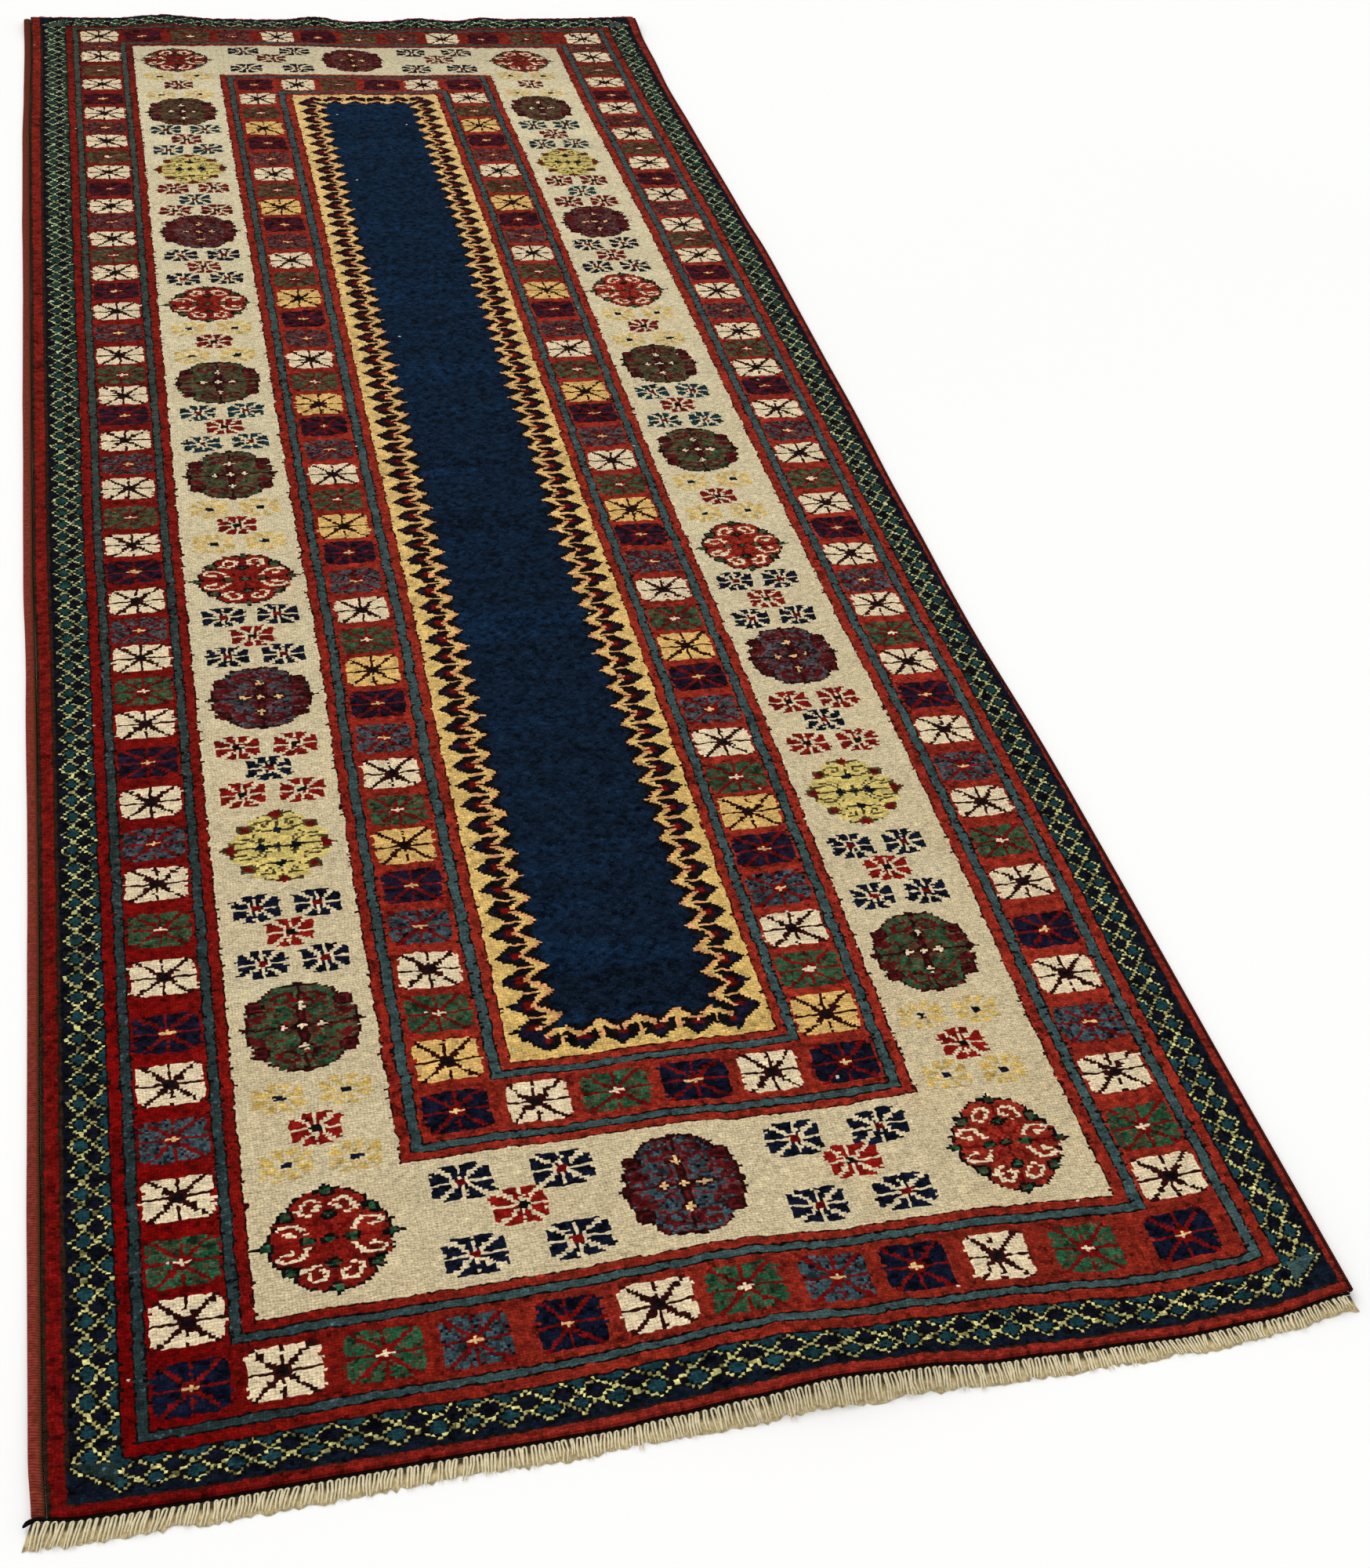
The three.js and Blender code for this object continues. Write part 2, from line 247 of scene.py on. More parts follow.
# Each stripe from the near end to the far one, in the same way
ROW_BANDS = [
    (GUARD, 4, 2.2), (1, 1, 1.5), (CHAIN, 14, 2.2), (3, 1, 1.4), (RED_A, 4, 2.3),
    (5, 1, 1.4), (TEAL_A, 3, 1.95), (7, 1, 1.4), (OUTER, 25, 2.3), (9, 1, 1.4),
    (TEAL_B, 3, 2.2), (11, 1, 1.4), (RED_B, 3, 2.4), (13, 1, 1.1), (IVORY, 53, 2.32),
    (15, 1, 1.1), (RED_C, 3, 2.3), (17, 1, 1.3), (TEAL_C, 3, 2.2), (19, 1, 1.3),
    (INNER, 25, 2.24), (21, 1, 1.2), (TEAL_D, 3, 2.1), (23, 1, 1.2), (RED_D, 3, 2.2),
    (25, 1, 1.2), (ZIGZAG, 15, 2.3), (FIELD, 860, 2.217), (ZIGZAG, 15, 2.2), (25, 1, 0.9),
    (RED_D, 3, 2.0), (23, 1, 0.9), (TEAL_D, 3, 2.1), (21, 1, 0.9), (INNER, 23, 2.12),
    (19, 1, 0.9), (TEAL_C, 3, 2.1), (17, 1, 0.9), (RED_C, 3, 2.1), (15, 1, 0.9),
    (IVORY, 54, 2.15), (13, 1, 0.8), (RED_B, 3, 2.1), (11, 1, 0.8), (TEAL_B, 3, 2.1),
    (9, 1, 0.8), (OUTER, 23, 1.96), (7, 1, 0.8), (TEAL_A, 2, 2.1), (5, 1, 0.8),
    (RED_A, 2, 2.1), (3, 1, 0.8), (CHAIN, 14, 2.0), (1, 1, 0.8), (GUARD, 5, 2.6),
]


def laid_out(bands, start, end):
    """From a table of stripes: each knot's ring, its place in the stripe, and the knots' edges.

    The widths are added up, and their sum is drawn out to reach from the start to the end."""
    ring = np.concatenate([np.full(knots, level) for level, knots, _ in bands])
    place = np.concatenate([np.arange(knots) for _, knots, _ in bands])
    widths = np.concatenate([np.full(knots, width) for _, knots, width in bands])
    edges = np.concatenate([[0], np.cumsum(widths)])
    return ring, place, start + edges * (end - start) / edges[-1]


BODY_LEFT_PART = MIDDLE_PART + BODY_LEFT / PART
BODY_RIGHT_PART = BODY_LEFT_PART + BODY_WIDTH / PART
LAST_PART = FIRST_PART + BODY_LENGTH / PART
column_ring, column_place, column_edges = laid_out(COLUMN_BANDS, BODY_LEFT_PART, BODY_RIGHT_PART)
row_ring, row_place, row_edges = laid_out(ROW_BANDS, FIRST_PART, LAST_PART)
COLUMNS = len(column_ring)
ROWS = len(row_ring)
column_index = np.arange(COLUMNS)[None, :]
row_index = np.arange(ROWS)[:, None]


def column_at(part):
    """The column of knots at a place across the rug, in parts."""
    return int(np.searchsorted(column_edges, part)) - 1


def row_at(part):
    """The row of knots at a place along the rug, in parts."""
    return int(np.searchsorted(row_edges, part)) - 1


# The dyed yarns: name, colour as it looks, how far rows differ and how far knots differ
DYES = [
    ("ivory", (212, 192, 151), 0.02, 0.055),
    ("cream", (236, 216, 178), 0.02, 0.07),
    ("red", (113, 8, 5), 0.08, 0.26),
    ("oxblood", (96, 9, 8), 0.08, 0.26),
    ("deep_red", (104, 14, 12), 0.06, 0.25),
    ("brick", (140, 20, 13), 0.06, 0.25),
    ("maroon", (44, 10, 11), 0.06, 0.3),
    ("black", (15, 12, 13), 0.05, 0.35),
    ("soot", (12, 15, 27), 0.05, 0.4),
    ("teal", (41, 57, 59), 0.08, 0.2),
    ("navy", (13, 20, 42), 0.1, 0.45),
    ("midnight", (13, 20, 32), 0.08, 0.4),
    ("pine", (20, 50, 58), 0.08, 0.4),
    ("pale", (224, 206, 168), 0.03, 0.08),
    ("ink", (13, 18, 34), 0.06, 0.5),
    ("field", (17, 31, 50), 0.06, 0.36),
    ("green", (44, 86, 58), 0.06, 0.35),
    ("moss", (78, 68, 46), 0.08, 0.3),
    ("umber", (78, 48, 34), 0.08, 0.3),
    ("bronze", (74, 65, 38), 0.08, 0.3),
    ("plum", (98, 44, 46), 0.08, 0.3),
    ("blue", (54, 76, 86), 0.08, 0.35),
    ("yellow", (221, 184, 108), 0.04, 0.13),
    ("lemon", (215, 193, 113), 0.04, 0.13),
    ("apricot", (224, 160, 104), 0.04, 0.16),
    ("gold", (228, 188, 128), 0.03, 0.12),
    ("amber", (226, 184, 110), 0.03, 0.12),
    ("straw", (216, 182, 104), 0.04, 0.14),
    ("flax", (184, 174, 114), 0.03, 0.42),
    ("olive", (44, 29, 18), 0.06, 0.25),
    ("garnet", (82, 18, 20), 0.06, 0.3),
    ("fern", (24, 62, 60), 0.08, 0.22),
]
DYE = {name: index for index, (name, *_) in enumerate(DYES)}

RING_DYES = {
    GUARD: "oxblood", CHAIN: "midnight", RED_A: "red", TEAL_A: "teal", OUTER: "red",
    TEAL_B: "teal", RED_B: "red", IVORY: "ivory", RED_C: "red", TEAL_C: "teal", INNER: "red",
    TEAL_D: "teal", RED_D: "red", ZIGZAG: "yellow", FIELD: "field",
}

# Each knot belongs to the outer one of its column's stripe and its row's stripe
ring = np.minimum(column_ring[None, :], row_ring[:, None])
BESIDE_IVORY = (13, 15, 25)
ring_colours = np.full(FIELD + 1, DYE["black"])
ring_colours[list(BESIDE_IVORY)] = DYE["maroon"]
ring_colours[GUARD + 1] = DYE["olive"]
for level, name in RING_DYES.items():
    ring_colours[level] = DYE[name]
pattern = ring_colours[ring]


def from_edge(places, rings, level):
    """A stripe's knots counted from its outer side, on both sides of the rug."""
    knots = np.where(rings == level, places, 0)
    first_half = np.arange(len(rings)) < len(rings) / 2
    sizes = [knots[side & (rings == level)].max() for side in (first_half, ~first_half)]
    return np.where(first_half, knots, sizes[1] - knots)


def from_nearest(index, first, pitch):
    """How far each knot lies from the nearest of many places, which lie one pitch apart."""
    return np.abs((index - first + pitch / 2) % pitch - pitch / 2)


def layered(ground, *layers):
    """Lays dyes over a ground one after the other, each where its own mask says."""
    for mask, name in layers:
        ground = np.where(mask, DYE[name], ground)
    return ground


# The outer edges: an olive brown line inside the left selvedge, partly olive yarn and partly
# painted shade of the gap beside the selvedge, and the dark chain guard

EDGE_LINE = 1
pattern[:, :EDGE_LINE] = DYE["olive"]

# The guard's diamonds: the depths of their middles in knots from the guard's outer side, half
# their depth, and how wide their rims and their dots are, as parts of half a diamond
DIAMOND_MIDDLES = (5.6, 9.2)
DIAMOND_HALF = 3.7
DIAMOND_RIM = 0.36
DIAMOND_DOTS = 0.105


def chain_colours(depth, run, repeat, outside):
    """Two staggered lines of small diamonds, dotted in pale flax, between a dark ground and teal.

    A diamond is where the distance in depth over half its width, plus the distance along over
    half the repeat, comes to less than one. Dots lie where it is about one, in a black rim."""
    off = from_nearest(run, 0, repeat)
    outer = np.abs(depth - DIAMOND_MIDDLES[0]) / DIAMOND_HALF + off / (repeat / 2)
    inner = np.abs(depth - DIAMOND_MIDDLES[1]) / DIAMOND_HALF + (repeat / 2 - off) / (repeat / 2)
    rim = np.minimum(np.abs(outer - 1), np.abs(inner - 1))
    colours = np.where(depth < sum(DIAMOND_MIDDLES) / 2, DYE[outside], DYE["fern"])
    return layered(
        colours, (outer < 1, "fern"), (inner < 1, "soot"), (rim < DIAMOND_RIM, "black"),
        (rim < DIAMOND_DOTS, "flax"),
    )


side_depth = from_edge(column_place, column_ring, CHAIN)[None, :]
end_depth = from_edge(row_place, row_ring, CHAIN)[:, None]
on_side = (column_ring[None, :] == CHAIN) & (row_ring[:, None] > CHAIN)
on_end = (row_ring[:, None] == CHAIN) & (column_ring[None, :] > CHAIN)
at_corner = (row_ring[:, None] == CHAIN) & (column_ring[None, :] == CHAIN)
SIDE_REPEAT, END_REPEAT = 10.3, 10.85
SIDE_START, END_START = row_at(82), column_at(84)
on_left = on_side & (column_index < COLUMNS / 2)
left_chain = chain_colours(side_depth, row_index - SIDE_START, SIDE_REPEAT, "soot")
right_chain = chain_colours(side_depth, row_index - SIDE_START, SIDE_REPEAT, "midnight")
end_chain = chain_colours(end_depth, column_index - END_START, END_REPEAT, "midnight")
pattern = np.where(on_left, left_chain, np.where(on_side, right_chain, pattern))
pattern = np.where(on_end, end_chain, pattern)
pattern = np.where(on_left & (side_depth == 0), DYE["olive"], pattern)
# In the corners a slanting line of dots parts the navy outside from the teal inside. It ends in
# a tip, and from there on the chain of the end runs as elsewhere
CORNER_TIP = 12
CORNER_SLOPE = 0.77
CORNER_REACH = 12.5
CORNER_RIM = 1.5
CORNER_DOTS = 0.4
slant = CORNER_SLOPE * side_depth + end_depth - CORNER_REACH
corner = np.where(slant < 0, DYE["midnight"], DYE["teal"])
slant = np.abs(slant)
corner = layered(corner, (slant < CORNER_RIM, "black"), (slant < CORNER_DOTS, "flax"))
corner = np.where(side_depth > CORNER_TIP, end_chain, corner)
pattern = np.where(at_corner, corner, pattern)

# The charts of the ornaments


def mirrored(quarter, marks):
    """A whole chart from its upper right quarter, whose first column and last row are the middle.

    A mark is the letter for a dye; a dot leaves the ground as it is."""
    width = max(len(line) for line in quarter)
    letters = np.array([list(line.ljust(width, ".")) for line in quarter])
    right = np.full(letters.shape, -1)
    for mark, name in marks.items():
        right[letters == mark] = DYE[name]
    upper = np.concatenate([right[:, :0:-1], right], axis=1)
    return np.concatenate([upper, upper[-2::-1]], axis=0)[::-1]


def stamp(row, column, chart):
    """Lays a chart over the pattern with its middle knot at a row and a column."""
    low_row = row - chart.shape[0] // 2
    low_column = column - chart.shape[1] // 2
    ground = pattern[low_row:low_row + chart.shape[0], low_column:low_column + chart.shape[1]]
    ground[:] = np.where(chart >= 0, chart, ground)


def distances(half_width, half_height):
    """The distances of a chart's knots from its middle column and its middle row."""
    across = np.abs(np.arange(-half_width, half_width + 1))[None, :]
    up = np.abs(np.arange(-half_height, half_height + 1))[:, None]
    return across, up


# The star squares' measures in knots: how far their chart and their ground reach from the middle,
# how much their corners are cut, how far the distance across is drawn out along the diagonal
# rays, and how wide those are
SQUARE_CHART = 11
SQUARE_WIDTH = 10
SQUARE_CUT = 0.4
DIAGONAL_DRAW = 1.05
DIAGONAL_WIDTH = {"blob": 1.25, "plus": 1.0}


def star_square(petal, ray, heart, size, hub):
    """A square of eight petals: rays run along both middles and both diagonals.

    A corner is cut off where half the distance across plus a third of the distance up passes
    a limit. A diagonal ray is where the two distances, the one across drawn out a little, are
    about the same. In the middle lies a flat blob with a square heart, or a larger one with a
    plus as its heart."""
    across, up = distances(SQUARE_CHART, SQUARE_CHART)
    limit = SQUARE_WIDTH / 2 + size / 3 - SQUARE_CUT
    inside = (across <= SQUARE_WIDTH) & (up <= size) & (across / 2 + up / 3 <= limit)
    diagonal = np.abs(DIAGONAL_DRAW * across - up) < DIAGONAL_WIDTH[hub]
    rays = (across == 0) | (up == 0) | diagonal
    chart = layered(np.full(inside.shape, -1), (inside, petal), (inside & rays, ray))
    if hub == "blob":
        blob = (across + up <= 2) & (up <= 1)
        return layered(chart, (blob, ray), ((across <= 1) & (up <= 1), heart))
    blob = (across + up <= 3) & (across <= 2)
    plus = ((up == 0) & (across <= 2)) | ((across == 0) & (up <= 1))
    return layered(chart, (blob, ray), (plus, heart))


SQUARES = {
    "I": star_square("cream", "maroon", "black", 9, "blob"),
    "Y": star_square("amber", "maroon", "black", 10, "blob"),
    "N": star_square("navy", "deep_red", "gold", 9, "plus"),
    "G": star_square("green", "deep_red", "cream", 9, "plus"),
    "B": star_square("blue", "deep_red", "gold", 9, "plus"),
}

# The florets' measures in knots from their middle: their size, the rise and the start of the
# slanting side of the upright and of the level petals, and how far rays and petals reach
FLORET_WIDTH = 9
FLORET_HEIGHT = 7
UPRIGHT_RISE, UPRIGHT_START = 0.95, 0.6
LEVEL_RISE, LEVEL_START = 0.8, 0.7
RAY_REACH = 13.2
PETAL_REACH = 14


def floret(petal, heart, ray, wide=FLORET_WIDTH):
    """A small flower of four pairs of petals with pale rays between them.

    A petal fills a wedge beside a middle line, and the upright ones have a notch in their
    slanting side. A narrower flower has its distances across drawn out before the sums."""
    across, up = distances(wide, FLORET_HEIGHT)
    drawn = across * FLORET_WIDTH / wide
    upright = (up >= 2) & (across >= 1) & (drawn <= up * UPRIGHT_RISE - UPRIGHT_START)
    level = (drawn >= 3) & (up >= 1) & (up <= drawn * LEVEL_RISE - LEVEL_START)
    upright = upright & ~((up == 4) & (across == 3))
    clipped = drawn + up <= RAY_REACH
    return layered(
        np.full(clipped.shape, -1),
        (clipped & ((drawn <= 8) | (up <= 5)), ray),
        ((upright | level) & (drawn + up <= PETAL_REACH), petal),
        ((across <= 1) & (up <= 1), heart),
    )


RED_ROSETTE = [
    "k",
    "gk",
    "ggkkk",
    "ggkrrrkk",
    "kkrrrrrrk",
    "mrrrrrrrrk",
    "mrrwwwwrrrk",
    "mrwwrrwwrrrk",
    "mrwrrrrwrrrk",
    "mrwwrrrwwrkkkk",
    "mrrwwrrrwrkgggk",
    "kkrrrrrwwrkgggk",
    "ggkrrwwrrrkgggk",
    "gkkrrrrrrrrrkkkk",
    "kkrrmrrrrrrrrrrrk",
    "mrrrrrmrrwwwwwwrk",
    "mrrrrmrrwwrrrrwwk",
    "mrrrmrrwwrrrrrrwrk",
    "mrrrmrrwrrrwwwwrrk",
    "mrrmrrwwrrrwwrrrrk",
    "mrmrrrrrrrrrrrrrrk",
    "gkmrrkggkrrrrrrrkggk",
    "ggkrkgggkmmmmmmmkgggkk",
]
CURLED_ROSETTE = [
    "kk",
    "kkmmmmm",
    "mfffafffm",
    "mfaafaaafm",
    "mfffaffaafm",
    "mfcccccfaafm",
    "mfcfffccfaam",
    "mfcfaafccfaam",
    "mfccfaafcfaammmm",
    "mffccffccfamccccm",
    "wfffccccffamcmmcm",
    "wkffffffffamcmmcm",
    "wwkfaaaafffmccccm",
    "wkffaaaaaaffmmmmm",
    "mkfaaaaaaaffffffm",
    "cmfaaaaaffffcccffm",
    "cmffaaaffffccccccm",
    "cmuffffffaffcccccm",
    "cmuufffaaafffcccfm",
    "kmuuufaaaafffffffm",
    "kmuuufkfaaaafffffm",
    "wkmuukwkffaaafffmmk",
    "wwkmkwwwkmmccmmmkkkk",
]
YELLOW_ROSETTE = [
    "r",
    "rrk",
    "rrrkkk",
    "rrkpppk",
    "rkppppppp",
    "kppppppppp",
    "pppkkkkkpp",
    "kppkppppkp",
    "kppkpkpppkkkkk",
    "kpppkkpppkrrrk",
    "npppppppkkrrrk",
    "nnppppkkpkrrrk",
    "nnnkkkppppkkkk",
    "nnpppppppppppp",
    "npppppppkpppppp",
    "ppppppppkppppppp",
    "ppppppkpppkkkkppp",
    "pppppkppkkppppppk",
    "pppppkpkpppkkkkkk",
    "kpppkpkppppppppkk",
    "kppppnkpppppppprrk",
    "nkppnnnnppppppprrrk",
    "nnnkknnnnkkkkkkrrrrk",
]
RED_MARKS = {"k": "black", "m": "deep_red", "r": "red", "g": "green", "w": "cream"}
GREEN_MARKS = {
    "k": "maroon", "m": "maroon", "n": "navy", "f": "moss", "a": "green", "c": "garnet",
    "u": "umber", "w": "cream",
}
BLUE_MARKS = {
    "k": "maroon", "m": "maroon", "n": "navy", "f": "plum", "a": "blue", "c": "garnet",
    "u": "plum", "w": "gold",
}
YELLOW_MARKS = {"k": "bronze", "n": "ink", "r": "deep_red", "p": "lemon"}
ROSETTES = {
    "red": mirrored(RED_ROSETTE, RED_MARKS),
    "green": mirrored(CURLED_ROSETTE, GREEN_MARKS),
    "blue": mirrored(CURLED_ROSETTE, BLUE_MARKS),
    "yellow": mirrored(YELLOW_ROSETTE, YELLOW_MARKS),
}

# Where the ornaments stand

OUTER_ROWS = [
    84, 136, 191, 251, 305, 362, 419, 484, 541, 598, 652, 709, 766, 824, 876, 929,
    976, 1026, 1079, 1131, 1184, 1241, 1291, 1344, 1398, 1445, 1494, 1541, 1595, 1652,
    1705, 1755, 1805, 1851, 1901, 1948, 2001, 2055, 2105, 2158, 2205, 2255, 2309, 2362,
    2415, 2469, 2510, 2549,
]
OUTER_SIDE = "N" + "IGIBIN" * 7 + "IGIBI"
OUTER_ACROSS = [111, 179, 249, 316, 389, 457, 526, 596, 664, 733, 811, 897]
OUTER_NEAR = "NIGBNIGBNIGN"
OUTER_FAR = "INGBINGBINGI"
INNER_FIRST = 299
INNER_PITCH = 52.7
INNER_SIDE = "N" + "YGIBN" * 7 + "YGIN"
INNER_ROWS = INNER_FIRST + np.arange(len(INNER_SIDE)) * INNER_PITCH
INNER_ACROSS = [336, 403, 470, 538, 605, 672]
INNER_ENDS = "NIGNIN"
CORNER_SHIFTS = {"first": 5, "second": 0}
NO_SHIFTS = {"first": 0, "second": 0}


def middle_of(level, rings, half):
    """The middle knot of a stripe, on the first or the second half of the rug."""
    knots = np.flatnonzero(rings == level)
    first = knots < len(rings) / 2
    side = knots[first] if half == "first" else knots[~first]
    return int(side[len(side) // 2])


def frame_of_squares(level, rows, side, across, near, far, inwards):
    """Star squares all round one border, with those of the ends over those of the sides.

    The right corner square of an end lies some columns inwards."""
    for half in ("first", "second"):
        column = middle_of(level, column_ring, half)
        for part, letter in zip(rows[1:-1], side[1:-1]):
            stamp(row_at(part), column, SQUARES[letter])
    ends = [middle_of(level, column_ring, "first"), middle_of(level, column_ring, "second")]
    for half, letters in (("first", near), ("second", far)):
        row = middle_of(level, row_ring, half)
        columns = [column_at(part) for part in across[1:-1]]
        columns = [ends[0]] + columns + [ends[1] - inwards[half]]
        for column, letter in zip(columns, letters):
            stamp(row, column, SQUARES[letter])


frame_of_squares(OUTER, OUTER_ROWS, OUTER_SIDE, OUTER_ACROSS, OUTER_NEAR, OUTER_FAR, CORNER_SHIFTS)
frame_of_squares(INNER, INNER_ROWS, INNER_SIDE, INNER_ACROSS, INNER_ENDS, INNER_ENDS, NO_SHIFTS)

# The rosettes of the ivory border, from the near end, and the florets that follow each of them
ROSETTE_ROWS = [190, 409, 631, 852, 1055, 1259, 1465, 1662, 1866, 2062, 2258, 2452]
ROSETTE_SIDE = [
    "red", "green", "yellow", "blue", "red", "green",
    "green", "red", "blue", "yellow", "green", "red",
]
# For each group of florets: the petals, heart and rays of the four outer ones, then of the
# middle one
PALE = ("straw", "ink", "ivory")
DARK = ("ink", "deep_red", "pale")
BRICK = ("brick", "black", "pale")
SLATE = ("pine", "deep_red", "pale")
FLORETS = [
    (PALE, BRICK), (DARK, BRICK), (BRICK, DARK), (DARK, BRICK), (PALE, BRICK), (SLATE, BRICK),
    (PALE, BRICK), (DARK, BRICK), (BRICK, SLATE), (SLATE, BRICK), (PALE, BRICK),
]
SIDE_FLORET = 7
FLORET_SPREAD = 26.5
FLORET_RISE = 34
IVORY_MIDDLES = [223, 783]


def five_florets(part, places, outer_dyes, middle_dyes, wide=FLORET_WIDTH, rise=0):
    """Four florets at the corners of an oblong, and one at a rise above its middle."""
    left, middle, right = places
    for outer_rise in (-FLORET_RISE, FLORET_RISE):
        for place in (left, right):
            stamp(row_at(part + outer_rise), column_at(place), floret(*outer_dyes, wide))
    stamp(row_at(part + rise), column_at(middle), floret(*middle_dyes, wide))


for middle in IVORY_MIDDLES:
    for part, name in zip(ROSETTE_ROWS, ROSETTE_SIDE):
        stamp(row_at(part), column_at(middle), ROSETTES[name])
    places = (middle - FLORET_SPREAD, middle, middle + FLORET_SPREAD)
    for low, high, dyes in zip(ROSETTE_ROWS, ROSETTE_ROWS[1:], FLORETS):
        five_florets((low + high) / 2, places, *dyes, SIDE_FLORET)
# The ivory border's ends: one rosette in the middle and five florets on each side of it
END_ROSETTE = 504
END_FLORETS = [(328, 372, 410), (603, 645, 680)]
END_FLORET_RISE = 4
for part in (ROSETTE_ROWS[0], ROSETTE_ROWS[-1]):
    stamp(row_at(part), column_at(END_ROSETTE), ROSETTES["blue"])
    for places in END_FLORETS:
        five_florets(part, places, DARK, BRICK, rise=END_FLORET_RISE)

# The zigzag round the field

STEM_PITCH_ROWS = 13.05
STEM_PITCH_COLUMNS = 12.4
FIRST_STEM_ROW = row_at(388.5)
MIDDLE_STEM_COLUMN = column_at(506)
# Depths are in knots from the yellow's outer side, and widths in knots from a stem or, for the
# arrowhead and its strokes, from the middle between two stems
TRIANGLE_START, TRIANGLE_TAPER = 1.5, 0.98
STEM_WIDTH, STEM_END = 0.7, 14
SLOT_END, SLOT_TAPER = 14.4, 1.2
HEAD_START, HEAD_END, HEAD_TAPER = 9.5, 18.4, 0.92
HEAD_GAP, HEAD_RIM, HEAD_RIM_END = 0.3, 1.3, 12
ARROW_TIP, ARROW_BARBS, ARROW_STROKES = (4, 7), (7, 10), (8, 10)
TIP_WIDTH, BARB_WIDTH = 1.6, 2.6
APRICOT_STEM = (8, 12)
FIELD_START, FIELD_TAPER = 18.9, 0.5


def within(depth, span):
    """Whether a depth lies in a span, its ends included."""
    return (depth >= span[0]) & (depth <= span[1])


def zigzag_colours(depth, off, pitch):
    """The zigzag at a depth inwards from the yellow's outer side and a distance from a stem.

    Yellow triangles taper to the stem, and the stem carries a yellow head with two barbs, with
    a dark slot between each barb and the stem. Between two stems lies a dark arrowhead, and
    behind it short red strokes."""
    between = pitch / 2 - off
    triangle = between > (depth - TRIANGLE_START) * TRIANGLE_TAPER
    stem = (off < STEM_WIDTH) & (depth <= STEM_END)
    slot = (off >= STEM_WIDTH) & (off < (SLOT_END - depth) * SLOT_TAPER)
    head_width = (HEAD_END - depth) * HEAD_TAPER
    head = (depth >= HEAD_START) & (off < head_width) & (off < pitch / 2 - HEAD_GAP) & ~slot
    rim = head & ((off > head_width - HEAD_RIM) | (depth < HEAD_RIM_END))
    return layered(
        np.full(np.broadcast(depth, off).shape, DYE["black"]),
        (within(depth, ARROW_TIP) & (between <= TIP_WIDTH), "navy"),
        (within(depth, ARROW_BARBS) & (between < BARB_WIDTH), "maroon"),
        (within(depth, ARROW_STROKES) & (between < TIP_WIDTH), "deep_red"),
        (depth > FIELD_START - FIELD_TAPER * off, "field"),
        (triangle | stem | head, "yellow"),
        (rim | (stem & within(depth, APRICOT_STEM)), "apricot"),
    )


band_columns = np.flatnonzero(column_ring == ZIGZAG)
band_rows = np.flatnonzero(row_ring == ZIGZAG)
from_side = np.minimum(column_index - band_columns[0], band_columns[-1] - column_index)
from_end = np.minimum(row_index - band_rows[0], band_rows[-1] - row_index)
# The band's depth in knots, how its rows at the ends are drawn out to that depth, and its
# corners, in which a slanting line parts the yellow from the navy
BAND = 19
END_STRETCH = 18 / 15.5
CORNER_COLUMNS, CORNER_ROWS = 12, 14
BAND_SLOPE, BAND_REACH, BAND_RIM = 0.87, 13.2, 1.6
inside = (from_side >= 0) & (from_end >= 0)
side_off = from_nearest(row_index, FIRST_STEM_ROW, STEM_PITCH_ROWS)
sides = zigzag_colours(from_side, side_off, STEM_PITCH_ROWS)
end_off = from_nearest(column_index, MIDDLE_STEM_COLUMN, STEM_PITCH_COLUMNS)
ends = zigzag_colours(from_end * END_STRETCH, end_off, STEM_PITCH_COLUMNS)
corner_line = from_side + BAND_SLOPE * from_end - BAND_REACH
corners = np.where(corner_line < 0, DYE["yellow"], DYE["black"])
corners = np.where(corner_line > BAND_RIM, DYE["navy"], corners)
use_sides = inside & (from_side < BAND) & (from_end >= CORNER_ROWS)
in_end_band = inside & (from_end * END_STRETCH < BAND)
use_ends = in_end_band & (from_side >= CORNER_COLUMNS) & (from_end < CORNER_ROWS)
use_ends |= in_end_band & (from_side >= BAND)
use_corners = inside & (from_side < CORNER_COLUMNS) & (from_end < CORNER_ROWS)
pattern = np.where(use_corners, corners, pattern)
pattern = np.where(use_ends, ends, pattern)
pattern = np.where(use_sides, sides, pattern)

# Here and there a knot has the dye of the knot beside it, which makes the outlines ragged
STRAY_SHARE = 0.07
stray = dice.random((ROWS, COLUMNS))
can_stray = (row_ring[:, None] > CHAIN + 1) & (column_ring[None, :] > CHAIN + 1)
from_left_knot = can_stray & (stray < STRAY_SHARE)
from_right_knot = can_stray & (stray > 1 - STRAY_SHARE)
pattern = np.where(from_left_knot, np.roll(pattern, 1, axis=1), pattern)
pattern = np.where(from_right_knot, np.roll(pattern, -1, axis=1), pattern)

# Some yarns were spun from mixed wool: knots of the first dye turn to the others here and there
MOTTLED = [
    ("green", [("moss", 0.2), ("umber", 0.12)]),
    ("moss", [("green", 0.3), ("deep_red", 0.16)]),
    ("plum", [("blue", 0.3), ("garnet", 0.4)]),
    ("blue", [("ink", 0.1), ("garnet", 0.12)]),
    ("straw", [("ivory", 0.12)]),
    ("teal", [("blue", 0.12)]),
]
streaks = dice.random((ROWS, COLUMNS))
was = pattern.copy()
for name, others in MOTTLED:
    reach = 0.0
    for other, share in others:
        chosen = (was == DYE[name]) & (streaks >= reach) & (streaks < reach + share)
        pattern[chosen] = DYE[other]
        reach += share

# The colour of each knot


def seen_colour(colour):
    """A colour given as it looks, from 0 to 255, as the light it returns, from 0 to 1."""
    share = np.array(colour, float) / 255
    return np.where(share <= 0.04045, share / 12.92, ((share + 0.055) / 1.055) ** 2.4)


